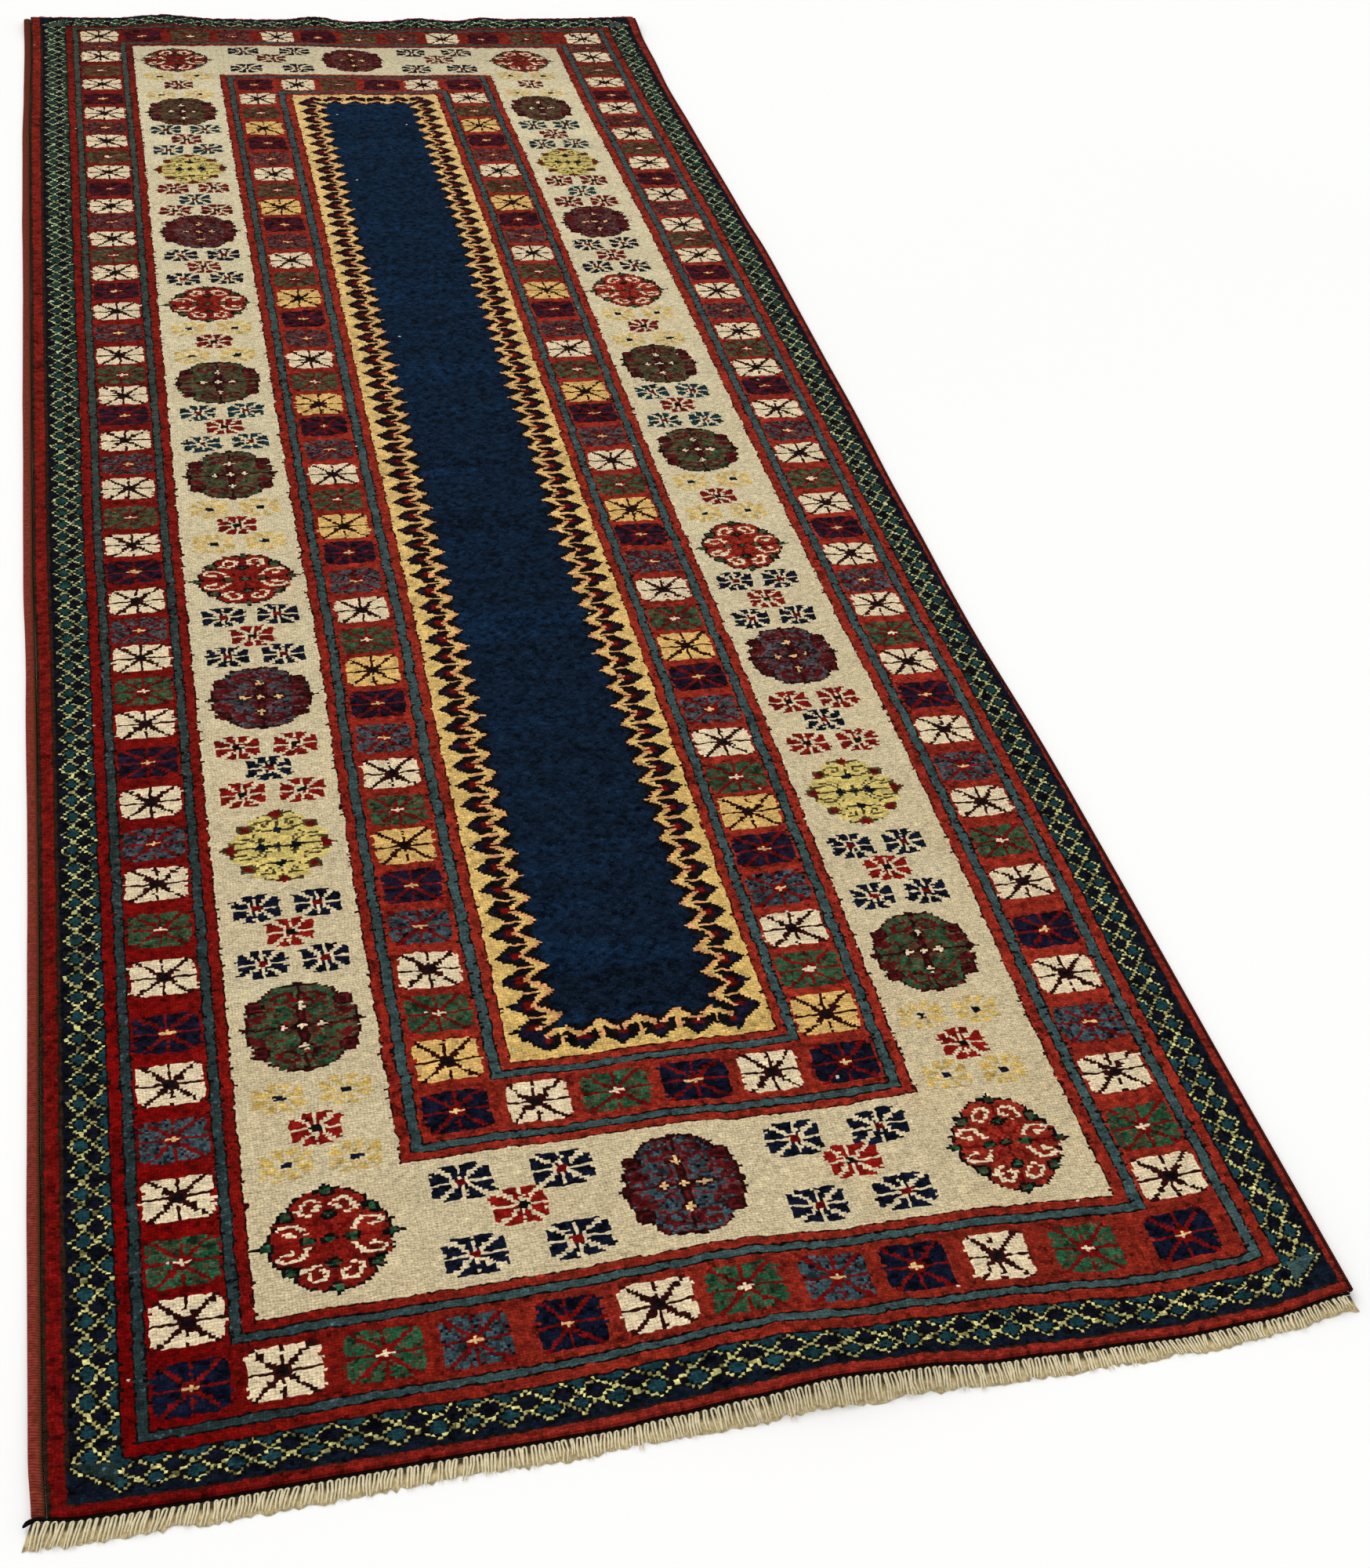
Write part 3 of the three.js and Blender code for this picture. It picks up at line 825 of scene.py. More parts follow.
def slow_noise(size, step):
    """Smooth noise along a line: random values every few steps, eased between them."""
    knots = dice.normal(0, 1, int(size / step) + 3)
    place = np.arange(size) / step
    low = place.astype(int)
    share = half_wave(place - low)
    return knots[low] * (1 - share) + knots[low + 1] * share


yarn = np.array([seen_colour(colour) for _, colour, _, _ in DYES])
row_spread = np.array([spread for _, _, spread, _ in DYES])
knot_spread = np.array([spread for _, _, _, spread in DYES])
# Each dye changes in bands some rows deep, and its single rows differ as well
DYE_BAND = 9
SINGLE_ROWS = 0.6
bands_of_dye = np.array([
    slow_noise(ROWS, DYE_BAND) + SINGLE_ROWS * dice.normal(0, 1, ROWS) for _ in DYES
])
OWN_GRAIN = 0.9
SHARED_GRAIN = 0.44


def clumped(shape):
    """Noise of about unit spread: each knot's own value plus a part of its neighbours' sum."""
    grain = dice.normal(0, 1, shape)
    padded = np.pad(grain, 1, mode="wrap")
    near_knots = sum(
        padded[1 + up:shape[0] + 1 + up, 1 + right:shape[1] + 1 + right]
        for up in (-1, 0, 1) for right in (-1, 0, 1)
    )
    return OWN_GRAIN * grain + SHARED_GRAIN * near_knots / 3


def patches(tall, wide):
    """Smooth noise over the rug, with patches of about so many rows by so many columns."""
    rows, columns = int(ROWS / tall) + 3, int(COLUMNS / wide) + 3
    values = dice.normal(0, 1, (rows, columns))
    up, right = np.arange(ROWS) / tall, np.arange(COLUMNS) / wide
    low, left = up.astype(int), right.astype(int)
    up = half_wave(up - low)[:, None]
    right = half_wave(right - left)[None, :]
    top = values[low + 1][:, left] * (1 - right) + values[low + 1][:, left + 1] * right
    bottom = values[low][:, left] * (1 - right) + values[low][:, left + 1] * right
    return bottom * (1 - up) + top * up


def of_dye(name):
    """Which knots have a dye, with room for a colour's three numbers."""
    return (pattern == DYE[name])[..., None]


TONE_LIMITS = (0.25, 2.5)
tone = 1 + row_spread[pattern] * bands_of_dye[pattern, row_index]
tone += knot_spread[pattern] * clumped(pattern.shape)
tone = np.clip(tone, *TONE_LIMITS)[..., None]
knot_colours = yarn[pattern] * tone
# The colours change over the rug: how each dye looks near the fringe, at the far end and, where it
# differs, towards the right side, where its lighter colour is painted sheen
DRIFTS = [
    ("ivory", (215, 197, 158), (226, 213, 176), None),
    ("yellow", (220, 183, 107), (235, 198, 130), None),
    ("field", (13, 25, 41), (10, 33, 55), None),
    ("red", (114, 4, 4), (121, 27, 17), (144, 42, 28)),
    ("oxblood", (108, 12, 10), (126, 32, 21), (134, 38, 28)),
    ("teal", (36, 51, 52), (62, 75, 66), (60, 82, 81)),
    ("green", (36, 80, 54), (76, 72, 46), None),
    ("moss", (78, 68, 46), (82, 62, 44), None),
    ("blue", (54, 76, 82), (92, 56, 48), None),
    ("plum", (98, 44, 44), (84, 36, 34), None),
    ("navy", (13, 18, 36), (52, 18, 28), None),
    ("brick", (130, 20, 15), (90, 14, 16), None),
    ("fern", (26, 59, 67), (26, 60, 46), None),
    ("flax", (178, 172, 110), (160, 170, 130), None),
    ("pine", (24, 54, 62), (16, 44, 52), None),
    ("deep_red", (108, 12, 10), (100, 18, 14), None),
]
DRIFT_PACE, DRIFT_START = 1.25, 0.1
RIGHT_SHEEN_START, RIGHT_SHEEN_COLUMNS = 40, 110
along_share = np.clip(row_index / ROWS * DRIFT_PACE - DRIFT_START, 0, 1)[..., None]
across_share = np.clip((column_index - RIGHT_SHEEN_START) / RIGHT_SHEEN_COLUMNS, 0, 1)[..., None]
for name, near_colour, far_colour, right_colour in DRIFTS:
    near_colour, far_colour = seen_colour(near_colour), seen_colour(far_colour)
    graded = near_colour + (far_colour - near_colour) * along_share
    # Towards the right side the lighter colour is painted sheen
    if right_colour:
        graded = graded + (seen_colour(right_colour) - graded) * across_share
    knot_colours = np.where(of_dye(name), graded * tone, knot_colours)
# How much of its light a dye keeps towards the near end and towards the far one
END_SHADES = [("ivory", 1.0, 0.85), ("red", 0.74, 0.72), ("brick", 0.9, 0.8)]
NEAR_SHADE_ROWS = 130
FAR_SHADE_START, FAR_SHADE_ROWS = 1060, 60
near_share = np.clip(1 - row_index / NEAR_SHADE_ROWS, 0, 1)[..., None]
far_share = np.clip((row_index - FAR_SHADE_START) / FAR_SHADE_ROWS, 0, 1)[..., None]
for name, near_keeps, far_keeps in END_SHADES:
    kept = (1 - (1 - near_keeps) * near_share) * (1 - (1 - far_keeps) * far_share)
    knot_colours = np.where(of_dye(name), knot_colours * kept, knot_colours)
# The field's blue has lighter streaks, mostly towards its left side. For each kind of streak:
# how many rows and columns it takes and how strong it is
LIGHT_BLUE = seen_colour((16, 48, 82))
STREAKS = [(4, 70, 0.6), (16, 90, 0.7)]
STREAK_LEVEL = 0.7
STREAK_SHARE = 0.27
FIELD_LEFT, FIELD_RIGHT = column_at(439), column_at(578)
leftwards = np.clip((FIELD_RIGHT - column_index) / (FIELD_RIGHT - FIELD_LEFT), 0, 1)
streak = sum(patches(tall, wide) * strength for tall, wide, strength in STREAKS)
streak = np.clip(streak + leftwards - STREAK_LEVEL, 0, 1)[..., None] * STREAK_SHARE
streaked = knot_colours * (1 - streak) + LIGHT_BLUE * tone * streak
knot_colours = np.where(of_dye("field"), streaked, knot_colours)
# The ivory has slightly warmer and cooler patches, as many rows as columns wide
STAIN_SIZE = 14
STAIN = np.array([0.005, 0.015, 0.025])
stain = 1 + patches(STAIN_SIZE, STAIN_SIZE)[..., None] * STAIN
knot_colours = np.where(of_dye("ivory"), knot_colours * stain, knot_colours)
# A few knots carry pale lint
LINT_SHARE = 0.00012
LINT = seen_colour((214, 205, 190))
lint = dice.random(pattern.shape) < LINT_SHARE
knot_colours = np.where(lint[..., None], LINT, knot_colours)

# Meshes from arrays


def add_mesh(name, points, faces, material, body="root", smooth=True):
    """A mesh object from an array of points and an array of faces with the same corner count."""
    mesh = bpy.data.meshes.new(name)
    count, corners = faces.shape
    mesh.vertices.add(len(points))
    mesh.vertices.foreach_set("co", np.ascontiguousarray(points, np.float32).ravel())
    mesh.loops.add(count * corners)
    mesh.loops.foreach_set("vertex_index", faces.astype(np.int32).ravel())
    mesh.polygons.add(count)
    mesh.polygons.foreach_set("loop_start", np.arange(0, count * corners, corners, dtype=np.int32))
    mesh.polygons.foreach_set("use_smooth", np.full(count, smooth))
    mesh.update(calc_edges=True)
    mesh.validate()
    made = bpy.data.objects.new(name, mesh)
    bpy.context.scene.collection.objects.link(made)
    mesh.materials.append(material)
    if body:
        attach(made, body)
    return made


def add_point_value(made, name, values):
    """A number stored on each point of a mesh, for its material to read."""
    stored = made.data.attributes.new(name, "FLOAT", "POINT")
    stored.data.foreach_set("value", np.ascontiguousarray(values, np.float32).ravel())


def add_corner_map(made, name, places):
    """A UV map on a mesh from one place for each corner."""
    layer = made.data.uv_layers.new(name=name)
    layer.data.foreach_set("uv", np.ascontiguousarray(places, np.float32).ravel())


def grid_faces(rows, columns, start=0):
    """The faces of a grid of points, given by its numbers of points both ways, facing up."""
    number = start + np.arange(rows * columns).reshape(rows, columns)
    return np.stack(
        [number[:-1, :-1], number[:-1, 1:], number[1:, 1:], number[1:, :-1]], axis=-1
    ).reshape(-1, 4)


# Materials


class Wire:
    """An output socket of a material; arithmetic on it adds Math nodes."""

    def __init__(self, finish, socket):
        self.finish = finish
        self.socket = socket

    def __add__(self, other):
        return self.finish.maths("ADD", self, other)

    def __sub__(self, other):
        return self.finish.maths("SUBTRACT", self, other)

    def __rsub__(self, other):
        return self.finish.maths("SUBTRACT", other, self)

    def __mul__(self, other):
        return self.finish.maths("MULTIPLY", self, other)

    def __truediv__(self, other):
        return self.finish.maths("DIVIDE", self, other)

    __radd__ = __add__
    __rmul__ = __mul__


class Finish:
    """A material: one Principled shader, with the nodes that feed it."""

    def __init__(self, name, **constants):
        self.material = bpy.data.materials.new(name)
        self.material.use_nodes = True
        self.tree = self.material.node_tree
        self.tree.nodes.clear()
        self.shader = self.tree.nodes.new("ShaderNodeBsdfPrincipled")
        output = self.tree.nodes.new("ShaderNodeOutputMaterial")
        self.tree.links.new(self.shader.outputs["BSDF"], output.inputs["Surface"])
        for socket, value in constants.items():
            self.shader.inputs[socket.replace("_", " ")].default_value = value

    def node(self, kind, settings, inputs, output=0):
        """A node of one type, with its settings made first and then its inputs filled."""
        made = self.tree.nodes.new(kind)
        for name, value in settings.items():
            setattr(made, name, value)
        for name, value in inputs.items():
            self.fill(made.inputs[name], value)
        return Wire(self, made.outputs[output])

    def fill(self, socket, value):
        """Links a wire to a socket, or sets the socket's own value."""
        if isinstance(value, Wire):
            self.tree.links.new(value.socket, socket)
        else:
            socket.default_value = value

    def maths(self, operation, *values):
        """A Math node over some values."""
        return self.node("ShaderNodeMath", {"operation": operation}, dict(enumerate(values)))

    def clamped(self, value):
        """A value, but nothing where it is less than nothing and one where it is more than one."""
        return self.maths("MINIMUM", self.maths("MAXIMUM", value, 0.0), 1.0)

    def stored(self, name, output="Fac"):
        """What a mesh has stored under a name."""
        return self.node("ShaderNodeAttribute", {"attribute_name": name}, {}, output)

    def place(self):
        """The place on the piece, in metres."""
        return self.node("ShaderNodeTexCoord", {}, {}, "Object")

    def part(self, vector, axis):
        """One of a vector's three numbers."""
        return self.node("ShaderNodeSeparateXYZ", {}, {"Vector": vector}, axis)

    def stretched(self, across, along):
        """The place, multiplied by one number across the rug and by another along it."""
        settings = {"operation": "MULTIPLY"}
        return self.node(
            "ShaderNodeVectorMath", settings, {0: self.place(), 1: (across, along, across)}
        )

    def noise(self, scale, detail, where=None):
        """Noise from 0 to 1, with so many waves to a metre or to a unit of the place given."""
        inputs = {"Scale": scale, "Detail": detail, "Vector": where or self.place()}
        return self.node("ShaderNodeTexNoise", {}, inputs)

    def mixed(self, share, one, other, blend="MIX"):
        """One colour and another, by a share from 0 to 1."""
        settings = {"data_type": "RGBA", "blend_type": blend}
        return self.node("ShaderNodeMix", settings, {0: share, 6: one, 7: other}, 2)

    def feed(self, socket, value):
        """Gives the shader's socket a value."""
        self.fill(self.shader.inputs[socket], value)

    def bump(self, height, distance, strength=1.0):
        """Lights the surface as a relief would be lit: a height from 0 to 1, times a depth."""
        inputs = {"Height": height, "Distance": distance, "Strength": strength}
        self.feed("Normal", self.node("ShaderNodeBump", {}, inputs))


def dye_paint(name, strength=1.0):
    """A dye's colour, made stronger or weaker, as a shader's four numbers."""
    return (*(yarn[DYE[name]] * strength), 1.0)


def paint(red, green, blue):
    """A colour given as it looks, as a shader's four numbers."""
    return (*seen_colour((red, green, blue)), 1)


WOOL = {
    "Roughness": 0.95, "Specular_IOR_Level": 0.02,
    "Sheen_Weight": 0.01, "Sheen_Roughness": 0.5,
}

# The pile: a tuft is rounded across and along, which lays painted shade on the edges of each knot
# and shapes its relief, and noise adds fibres, clumps, ribs and patches
TUFT_FLOOR = 0.02
TUFT_ACROSS, TUFT_ALONG = 0.35, 0.5
FIBRES_PER_METRE, CLUMPS_PER_METRE, PATCHES_PER_METRE = 1500, 430, 11
RIBS_ACROSS, RIBS_ALONG = 170, 340
pile = Finish("knotted_wool_pile", **WOOL)
knot_place = pile.node("ShaderNodeUVMap", {"uv_map": "knots"}, {})
in_knot = [pile.maths("FRACT", pile.part(knot_place, axis)) for axis in (0, 1)]
rounded = [1 - pile.maths("ABSOLUTE", (place - 0.5) * 2) for place in in_knot]
tuft = pile.maths("POWER", rounded[0] + TUFT_FLOOR, TUFT_ACROSS)
tuft = tuft * pile.maths("POWER", rounded[1] + TUFT_FLOOR, TUFT_ALONG)
fibre = pile.noise(FIBRES_PER_METRE, 3)
clump = pile.noise(CLUMPS_PER_METRE, 2)
patch = pile.noise(PATCHES_PER_METRE, 3)
ribs = pile.noise(1.0, 2, pile.stretched(RIBS_ACROSS, RIBS_ALONG))
# A knot's shade, painted shade at its edges from the tuft plus its tone, is a plain share, then for
# each of these how far it lies from a middle value, times a weight, and then a last share
PLAIN_SHADE, LAST_SHADE = 0.72, 0.22
SHADE_PARTS = [
    (tuft, 0.6, 0.5), (fibre, 0.5, 0.5), (clump, 0.5, 0.9), (ribs, 0.5, 1.0), (patch, 0.5, 0.12),
]
shade = PLAIN_SHADE
for part, middle, weight in SHADE_PARTS:
    shade = shade + (part - middle) * weight
shade = shade + LAST_SHADE
pile.feed("Base Color", pile.mixed(1.0, pile.stored("yarn", "Color"), shade, "MULTIPLY"))
# Its relief is a sum of these, each times its weight
RELIEF_PARTS = [(fibre, 0.35), (clump, 0.6), (ribs, 0.7)]
TUFT_RELIEF = 0.5
RELIEF_DEPTH, RELIEF_STRENGTH = 1.5 * MM, 0.9
relief = sum([part * weight for part, weight in RELIEF_PARTS], tuft * TUFT_RELIEF)
pile.bump(relief, RELIEF_DEPTH, RELIEF_STRENGTH)

# Spun yarn: how much finer its fibres are than its specks, how sharply the specks part its two
# tones, and what its relief is made of
FIBRE_FINENESS = 6
SPECK_CONTRAST, SPECK_SHIFT = 2.4, -0.7
FIBRE_RELIEF, SPECK_RELIEF, YARN_DEPTH = 0.6, 0.4, 0.8 * MM


def yarn_finish(name, light, dark, specks_per_metre):
    """Plain spun yarn: two tones mottled by noise, with fine fibres in the relief."""
    finish = Finish(name, **WOOL)
    speck = finish.noise(specks_per_metre, 3)
    fine_fibre = finish.noise(specks_per_metre * FIBRE_FINENESS, 2)
    share = finish.clamped(finish.maths("MULTIPLY_ADD", speck, SPECK_CONTRAST, SPECK_SHIFT))
    finish.tint = finish.mixed(share, dark, light)
    finish.feed("Base Color", finish.tint)
    finish.bump(fine_fibre * FIBRE_RELIEF + speck * SPECK_RELIEF, YARN_DEPTH)
    return finish


fringe_yarn = yarn_finish("ivory_warp_yarn", paint(246, 236, 206), paint(222, 206, 164), 300)
warp_mat = yarn_finish("packed_warp_ends", paint(226, 210, 166), paint(176, 154, 106), 240)
cord_wool = yarn_finish("dark_wool_cord", dye_paint("black", 1.5), dye_paint("black", 0.7), 320)
back_weave = yarn_finish("woven_back", dye_paint("deep_red", 1.6), dye_paint("umber", 1.2), 40)
left_overcast = yarn_finish("red_brown_overcasting", paint(164, 68, 54), paint(118, 42, 32), 200)
# The right overcasting is a much darker copy of the left one's red-brown: painted shade
shaded_right_overcast = yarn_finish("red_brown_overcasting_in_painted_shade", paint(84, 28, 20), paint(46, 18, 14), 200)

# The mat under the loops: long strands, and a dark tint that is gone halfway out
STRANDS_ACROSS, STRANDS_ALONG = 420, 30
SHADOW_SLOPE, SHADOW_START, SHADOW_SHARE = -4.0, 2.0, 0.92
SHADOW = paint(44, 34, 20)
STRAND_CONTRAST, STRAND_SHADE, STRAND_DEPTH = 1.3, 0.35, 2.5 * MM
strands = warp_mat.noise(1.0, 2, warp_mat.stretched(STRANDS_ACROSS, STRANDS_ALONG))
under_loops = warp_mat.maths(
    "MULTIPLY_ADD", warp_mat.stored("out_share"), SHADOW_SLOPE, SHADOW_START
)
under_loops = warp_mat.clamped(under_loops)
mat_tint = warp_mat.mixed(under_loops * SHADOW_SHARE, warp_mat.tint, SHADOW)
strand_shade = strands * STRAND_CONTRAST + STRAND_SHADE
warp_mat.feed("Base Color", warp_mat.mixed(1.0, mat_tint, strand_shade, "MULTIPLY"))
warp_mat.bump(strands, STRAND_DEPTH)

# The overcasting: its wraps run slightly aslant and waver. Towards the far end it is browner. By a
# value stored on the points, the inner wraps of the left selvedge turn to their own darker brown,
# and all grooves are darkened with painted shade
WRAPS_PER_METRE = 340
WRAP_SLANT = 500
WRAP_WAVER, WAVERS_PER_METRE = 9, 60
GRAINS_PER_METRE = 900
FAR_BROWN, FAR_BROWN_SHARE = paint(88, 40, 24), 0.75
INNER_BROWN_AND_GROOVE_SHADE = paint(96, 62, 38)
WRAP_SHADE, GRAIN_SHADE, OVERCAST_SHADE = 0.2, 0.5, 0.6
WRAP_RELIEF, GRAIN_RELIEF, WRAP_DEPTH = 0.6, 0.5, 0.9 * MM
for overcast in (left_overcast, shaded_right_overcast):
    run = overcast.part(overcast.place(), "Y")
    slant = overcast.part(overcast.place(), "X") * WRAP_SLANT
    waver = overcast.noise(WAVERS_PER_METRE, 2) * WRAP_WAVER
    turn = overcast.maths("SINE", run * (WRAPS_PER_METRE * math.tau) + slant + waver)
    grain = overcast.noise(GRAINS_PER_METRE, 2)
    far_share = overcast.clamped(run / BODY_LENGTH + 0.5)
    brown_share = far_share * far_share * far_share * FAR_BROWN_SHARE
    base = overcast.mixed(brown_share, overcast.tint, FAR_BROWN)
    # The stored value mixes in painted shade at the grooves and, on the left, the inner wraps' own
    # brown
    base = overcast.mixed(overcast.stored("dark"), base, INNER_BROWN_AND_GROOVE_SHADE)
    wrap_shade = turn * WRAP_SHADE + grain * GRAIN_SHADE + OVERCAST_SHADE
    overcast.feed("Base Color", overcast.mixed(1.0, base, wrap_shade, "MULTIPLY"))
    overcast.bump(turn * WRAP_RELIEF + grain * GRAIN_RELIEF, WRAP_DEPTH)

# The pile: six strips that run the whole length of the rug, one face for each knot
# Where the pattern's upright lines wander: the line's place in columns, then its place across
# in parts at each of these distances along the rug, in parts too
LINE_ROWS = [290, 510, 730, 950, 1175, 1395, 1617, 1840, 2060, 2282]
LINES = [
    (27.5, [75.5, 75.5, 75, 75, 73.5, 75, 74.5, 75, 76, 76]),
    (55.5, [144.5, 145, 145.5, 146, 145, 146, 146.5, 147.5, 149, 148]),
    (63, [159.5, 160, 160, 160.5, 160.5, 161.5, 162, 163, 164, 162.5]),
    (108, [282.5, 283, 285, 288, 286.5, 287, 288.5, 289, 289, 289.5]),
    (115.5, [297.5, 298, 299, 303, 302, 302.5, 304, 304.5, 304.5, 304.5]),
    (145.5, [373.5, 373, 374, 378, 377.5, 378, 379, 380, 380, 378.5]),
    (153, [387.5, 389, 390, 394, 394, 394, 395, 396.5, 396.5, 394.5]),
    (171, [437.5, 436.5, 436.5, 439.5, 441, 442, 442, 442, 441.5, 440.5]),
    (222, [577, 578, 578, 577, 577, 578, 578.5, 581, 578.5, 575.5]),
    (239, [621, 619.5, 621, 622, 620, 620.5, 621.5, 622.5, 620, 618]),
    (246.5, [633.5, 633.5, 636, 636.5, 635, 635.5, 636.5, 637, 635.5, 633]),
    (274.5, [705.5, 708, 709.5, 708.5, 706.5, 706.5, 707, 707.5, 706.5, 703]),
    (282, [721, 723.5, 725, 723.5, 721.5, 721.5, 722.5, 722.5, 721, 717.5]),
    (331, [847.5, 853.5, 855.5, 852, 851, 851.5, 853.5, 852.5, 849.5, 845]),
    (338.5, [864.5, 870, 872, 868.5, 867.5, 868.5, 870.5, 869.5, 866.5, 862]),
    (366.5, [939, 943.5, 943.5, 940, 941, 943.5, 944.5, 944, 940, 936.5]),
    (388, [992.5, 997, 997, 992, 992, 996, 997, 998, 994, 990]),
]
PILE_INSET = 0.4 * MM
# Slow wander of the woven lines: for each wave its size, its turns along and its turns across
ACROSS_WAVES = [(0.8, 41, 1.3), (0.6, 83, -3.1), (0.45, 157, 5.2), (0.3, 311, 2.4)]
ALONG_WAVES = [(1.1, 3.1, 4.3), (0.8, 7.7, -7.9), (0.6, 17.3, 13.1), (0.35, 37.1, 29.3)]
FLANK_HEIGHT = 1.2 * MM
TIP_WANDER = 0.6 * MM
TIP_HEIGHT = 0.4 * MM
# The waves grow from nothing at the edges as a half sine wave to this power
HOLD_POWER = 0.3


def waves(table, along, across):
    """A sum of slanting sine waves over the rug, from its two shares of length and of width."""
    angles = [math.tau * (up * along + right * across) + up for _, up, right in table]
    return sum(size * MM * np.sin(angle) for (size, _, _), angle in zip(table, angles))


def pile_grid():
    """The corners of all knots, and one more ring of points down the pile's flanks.

    Across, a corner keeps its share between two of the upright lines, which wander along the
    rug. Along, it keeps its row. Every tip leans a little at random."""
    along = (row_edges - FIRST_PART) * PART
    nominal = [0] + [column for column, _ in LINES] + [COLUMNS]
    wander = [left_edge(along) + PILE_INSET]
    wander += [
        (eased(list(zip(LINE_ROWS, places)), row_edges, 1.0) - MIDDLE_PART) * PART
        for _, places in LINES
    ]
    wander.append(right_edge(along) - PILE_INSET)
    wander = np.stack(wander, axis=1)
    nominal = np.interp(nominal, np.arange(COLUMNS + 1), column_edges)
    above = np.clip(np.searchsorted(nominal, column_edges, side="right"), 1, len(nominal) - 1)
    share = (column_edges - nominal[above - 1]) / (nominal[above] - nominal[above - 1])
    across = wander[:, above - 1] * (1 - share) + wander[:, above] * share
    along = np.repeat(along[:, None], COLUMNS + 1, axis=1)
    from_left = (across - across[:, :1]) / (across[:, -1:] - across[:, :1])
    hold = np.sin(np.pi * from_left) ** HOLD_POWER
    hold = hold * np.sin(np.pi * along / BODY_LENGTH) ** HOLD_POWER
    across = across + hold * waves(ACROSS_WAVES, along / BODY_LENGTH, from_left)
    along = along + hold * waves(ALONG_WAVES, along / BODY_LENGTH, from_left) + sway(across, along)
    x = across + SHIFT_X
    y = laid(across, along)
    z = lift(across, along) + PILE_TOP
    inner = (slice(1, -1), slice(1, -1))
    x[inner] += TIP_WANDER * clumped(x[inner].shape)
    y[inner] += TIP_WANDER * clumped(x[inner].shape)
    z[inner] += TIP_HEIGHT * clumped(x[inner].shape)
    grid = np.stack([x, y, z], axis=-1)
    grid = np.pad(grid, ((1, 1), (1, 1), (0, 0)), mode="edge")
    rim = np.ones(grid.shape[:2], bool)
    rim[1:-1, 1:-1] = False
    grid[..., 2] -= np.where(rim, PILE_TOP - FLANK_HEIGHT, 0)
    return grid


STRIPS = 6
# The map for baking: into how many lengths a strip is cut, and how many knots lie between them
MAP_COLUMNS = 4
MAP_MARGIN = 4
points_of_pile = pile_grid()
face_colours = np.pad(knot_colours, ((1, 1), (1, 1), (0, 0)), mode="edge")
strip_ends = np.linspace(0, COLUMNS + 2, STRIPS + 1).astype(int)


def add_strip(number, first, last):
    """One strip of the pile, from a column of knots to another, with its colours and its maps."""
    grid = points_of_pile[:, first:last + 1]
    rows, columns = grid.shape[:2]
    strip = add_mesh(
        f"pile_strip_{number}", grid.reshape(-1, 3), grid_faces(rows, columns), pile.material
    )
    tint = strip.data.attributes.new("yarn", "FLOAT_COLOR", "FACE")
    colours = np.ones((rows - 1, columns - 1, 4), np.float32)
    colours[..., :3] = face_colours[:, first:last]
    tint.data.foreach_set("color", colours.ravel())
    low_row = np.arange(rows - 1)[:, None]
    low_column = np.arange(columns - 1)[None, :]
    corner_rows = np.stack([low_row + up + 0 * low_column for up in (0, 0, 1, 1)], axis=-1)
    corner_columns = np.stack([low_column + right + 0 * low_row for right in (0, 1, 1, 0)], axis=-1)
    # The map for baking cuts the strip into lengths that lie side by side
    length = math.ceil((rows - 1) / MAP_COLUMNS)
    piece = (low_row // length + 0 * low_column)[..., None]
    size_across = MAP_COLUMNS * (columns - 1 + MAP_MARGIN)
    size_up = length + MAP_MARGIN
    u = (piece * (columns - 1 + MAP_MARGIN) + corner_columns + MAP_MARGIN / 2) / size_across
    v = (corner_rows - piece * length + MAP_MARGIN / 2) / size_up
    add_corner_map(strip, "OFBake", np.stack([u, v], axis=-1))
    add_corner_map(strip, "knots", np.stack([corner_columns, corner_rows], axis=-1))
    return strip


strips = [
    add_strip(number + 1, first, last)
    for number, (first, last) in enumerate(zip(strip_ends, strip_ends[1:]))
]

# The woven back: a thin closed sheet under the pile

BACK_COLUMNS = 24
BACK_ROWS = 60
BACK_CROWDING = 0.85
BACK_INSET = 1.2 * MM
BACK_THICKNESS = 2.6 * MM


def closed_sheet(low, high):
    """A closed slab from two grids of points of the same size, one under the other."""
    rows, columns = low.shape[:2]
    count = rows * columns
    number = np.arange(count).reshape(rows, columns)
    rim = np.concatenate(
        [number[0, :-1], number[:-1, -1], number[-1, :0:-1], number[:0:-1, 0]]
    )
    after = np.roll(rim, -1)
    walls = np.stack([rim, after, after + count, rim + count], axis=-1)
    faces = np.concatenate(
        [grid_faces(rows, columns)[:, ::-1], grid_faces(rows, columns, count), walls]
    )
    return np.concatenate([low.reshape(-1, 3), high.reshape(-1, 3)]), faces


def back_grid(height):
    """The back's points at a height over the underside, just inside the body's outline.

    Its rows crowd towards both ends, where the rug bends: an even step minus part of a sine
    wave."""
    step = np.linspace(0, 1, BACK_ROWS + 1)[:, None]
    crowded = step - BACK_CROWDING * np.sin(math.tau * step) / math.tau
    along = BACK_INSET + (BODY_LENGTH - 2 * BACK_INSET) * crowded
    share = np.linspace(0, 1, BACK_COLUMNS + 1)[None, :]
    low, high = left_edge(along) + BACK_INSET, right_edge(along) - BACK_INSET
    across = low + (high - low) * share
    along = along + 0 * share
    return np.stack(
        [across + SHIFT_X, laid(across, along), lift(across, along) + height],
        axis=-1,
    )


back_points, back_faces = closed_sheet(back_grid(0.0), back_grid(BACK_THICKNESS))
back = add_mesh("woven_back", back_points, back_faces, back_weave.material)
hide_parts("knotted_body")

# Selvedges and cords: closed tubes along the sides and the ends


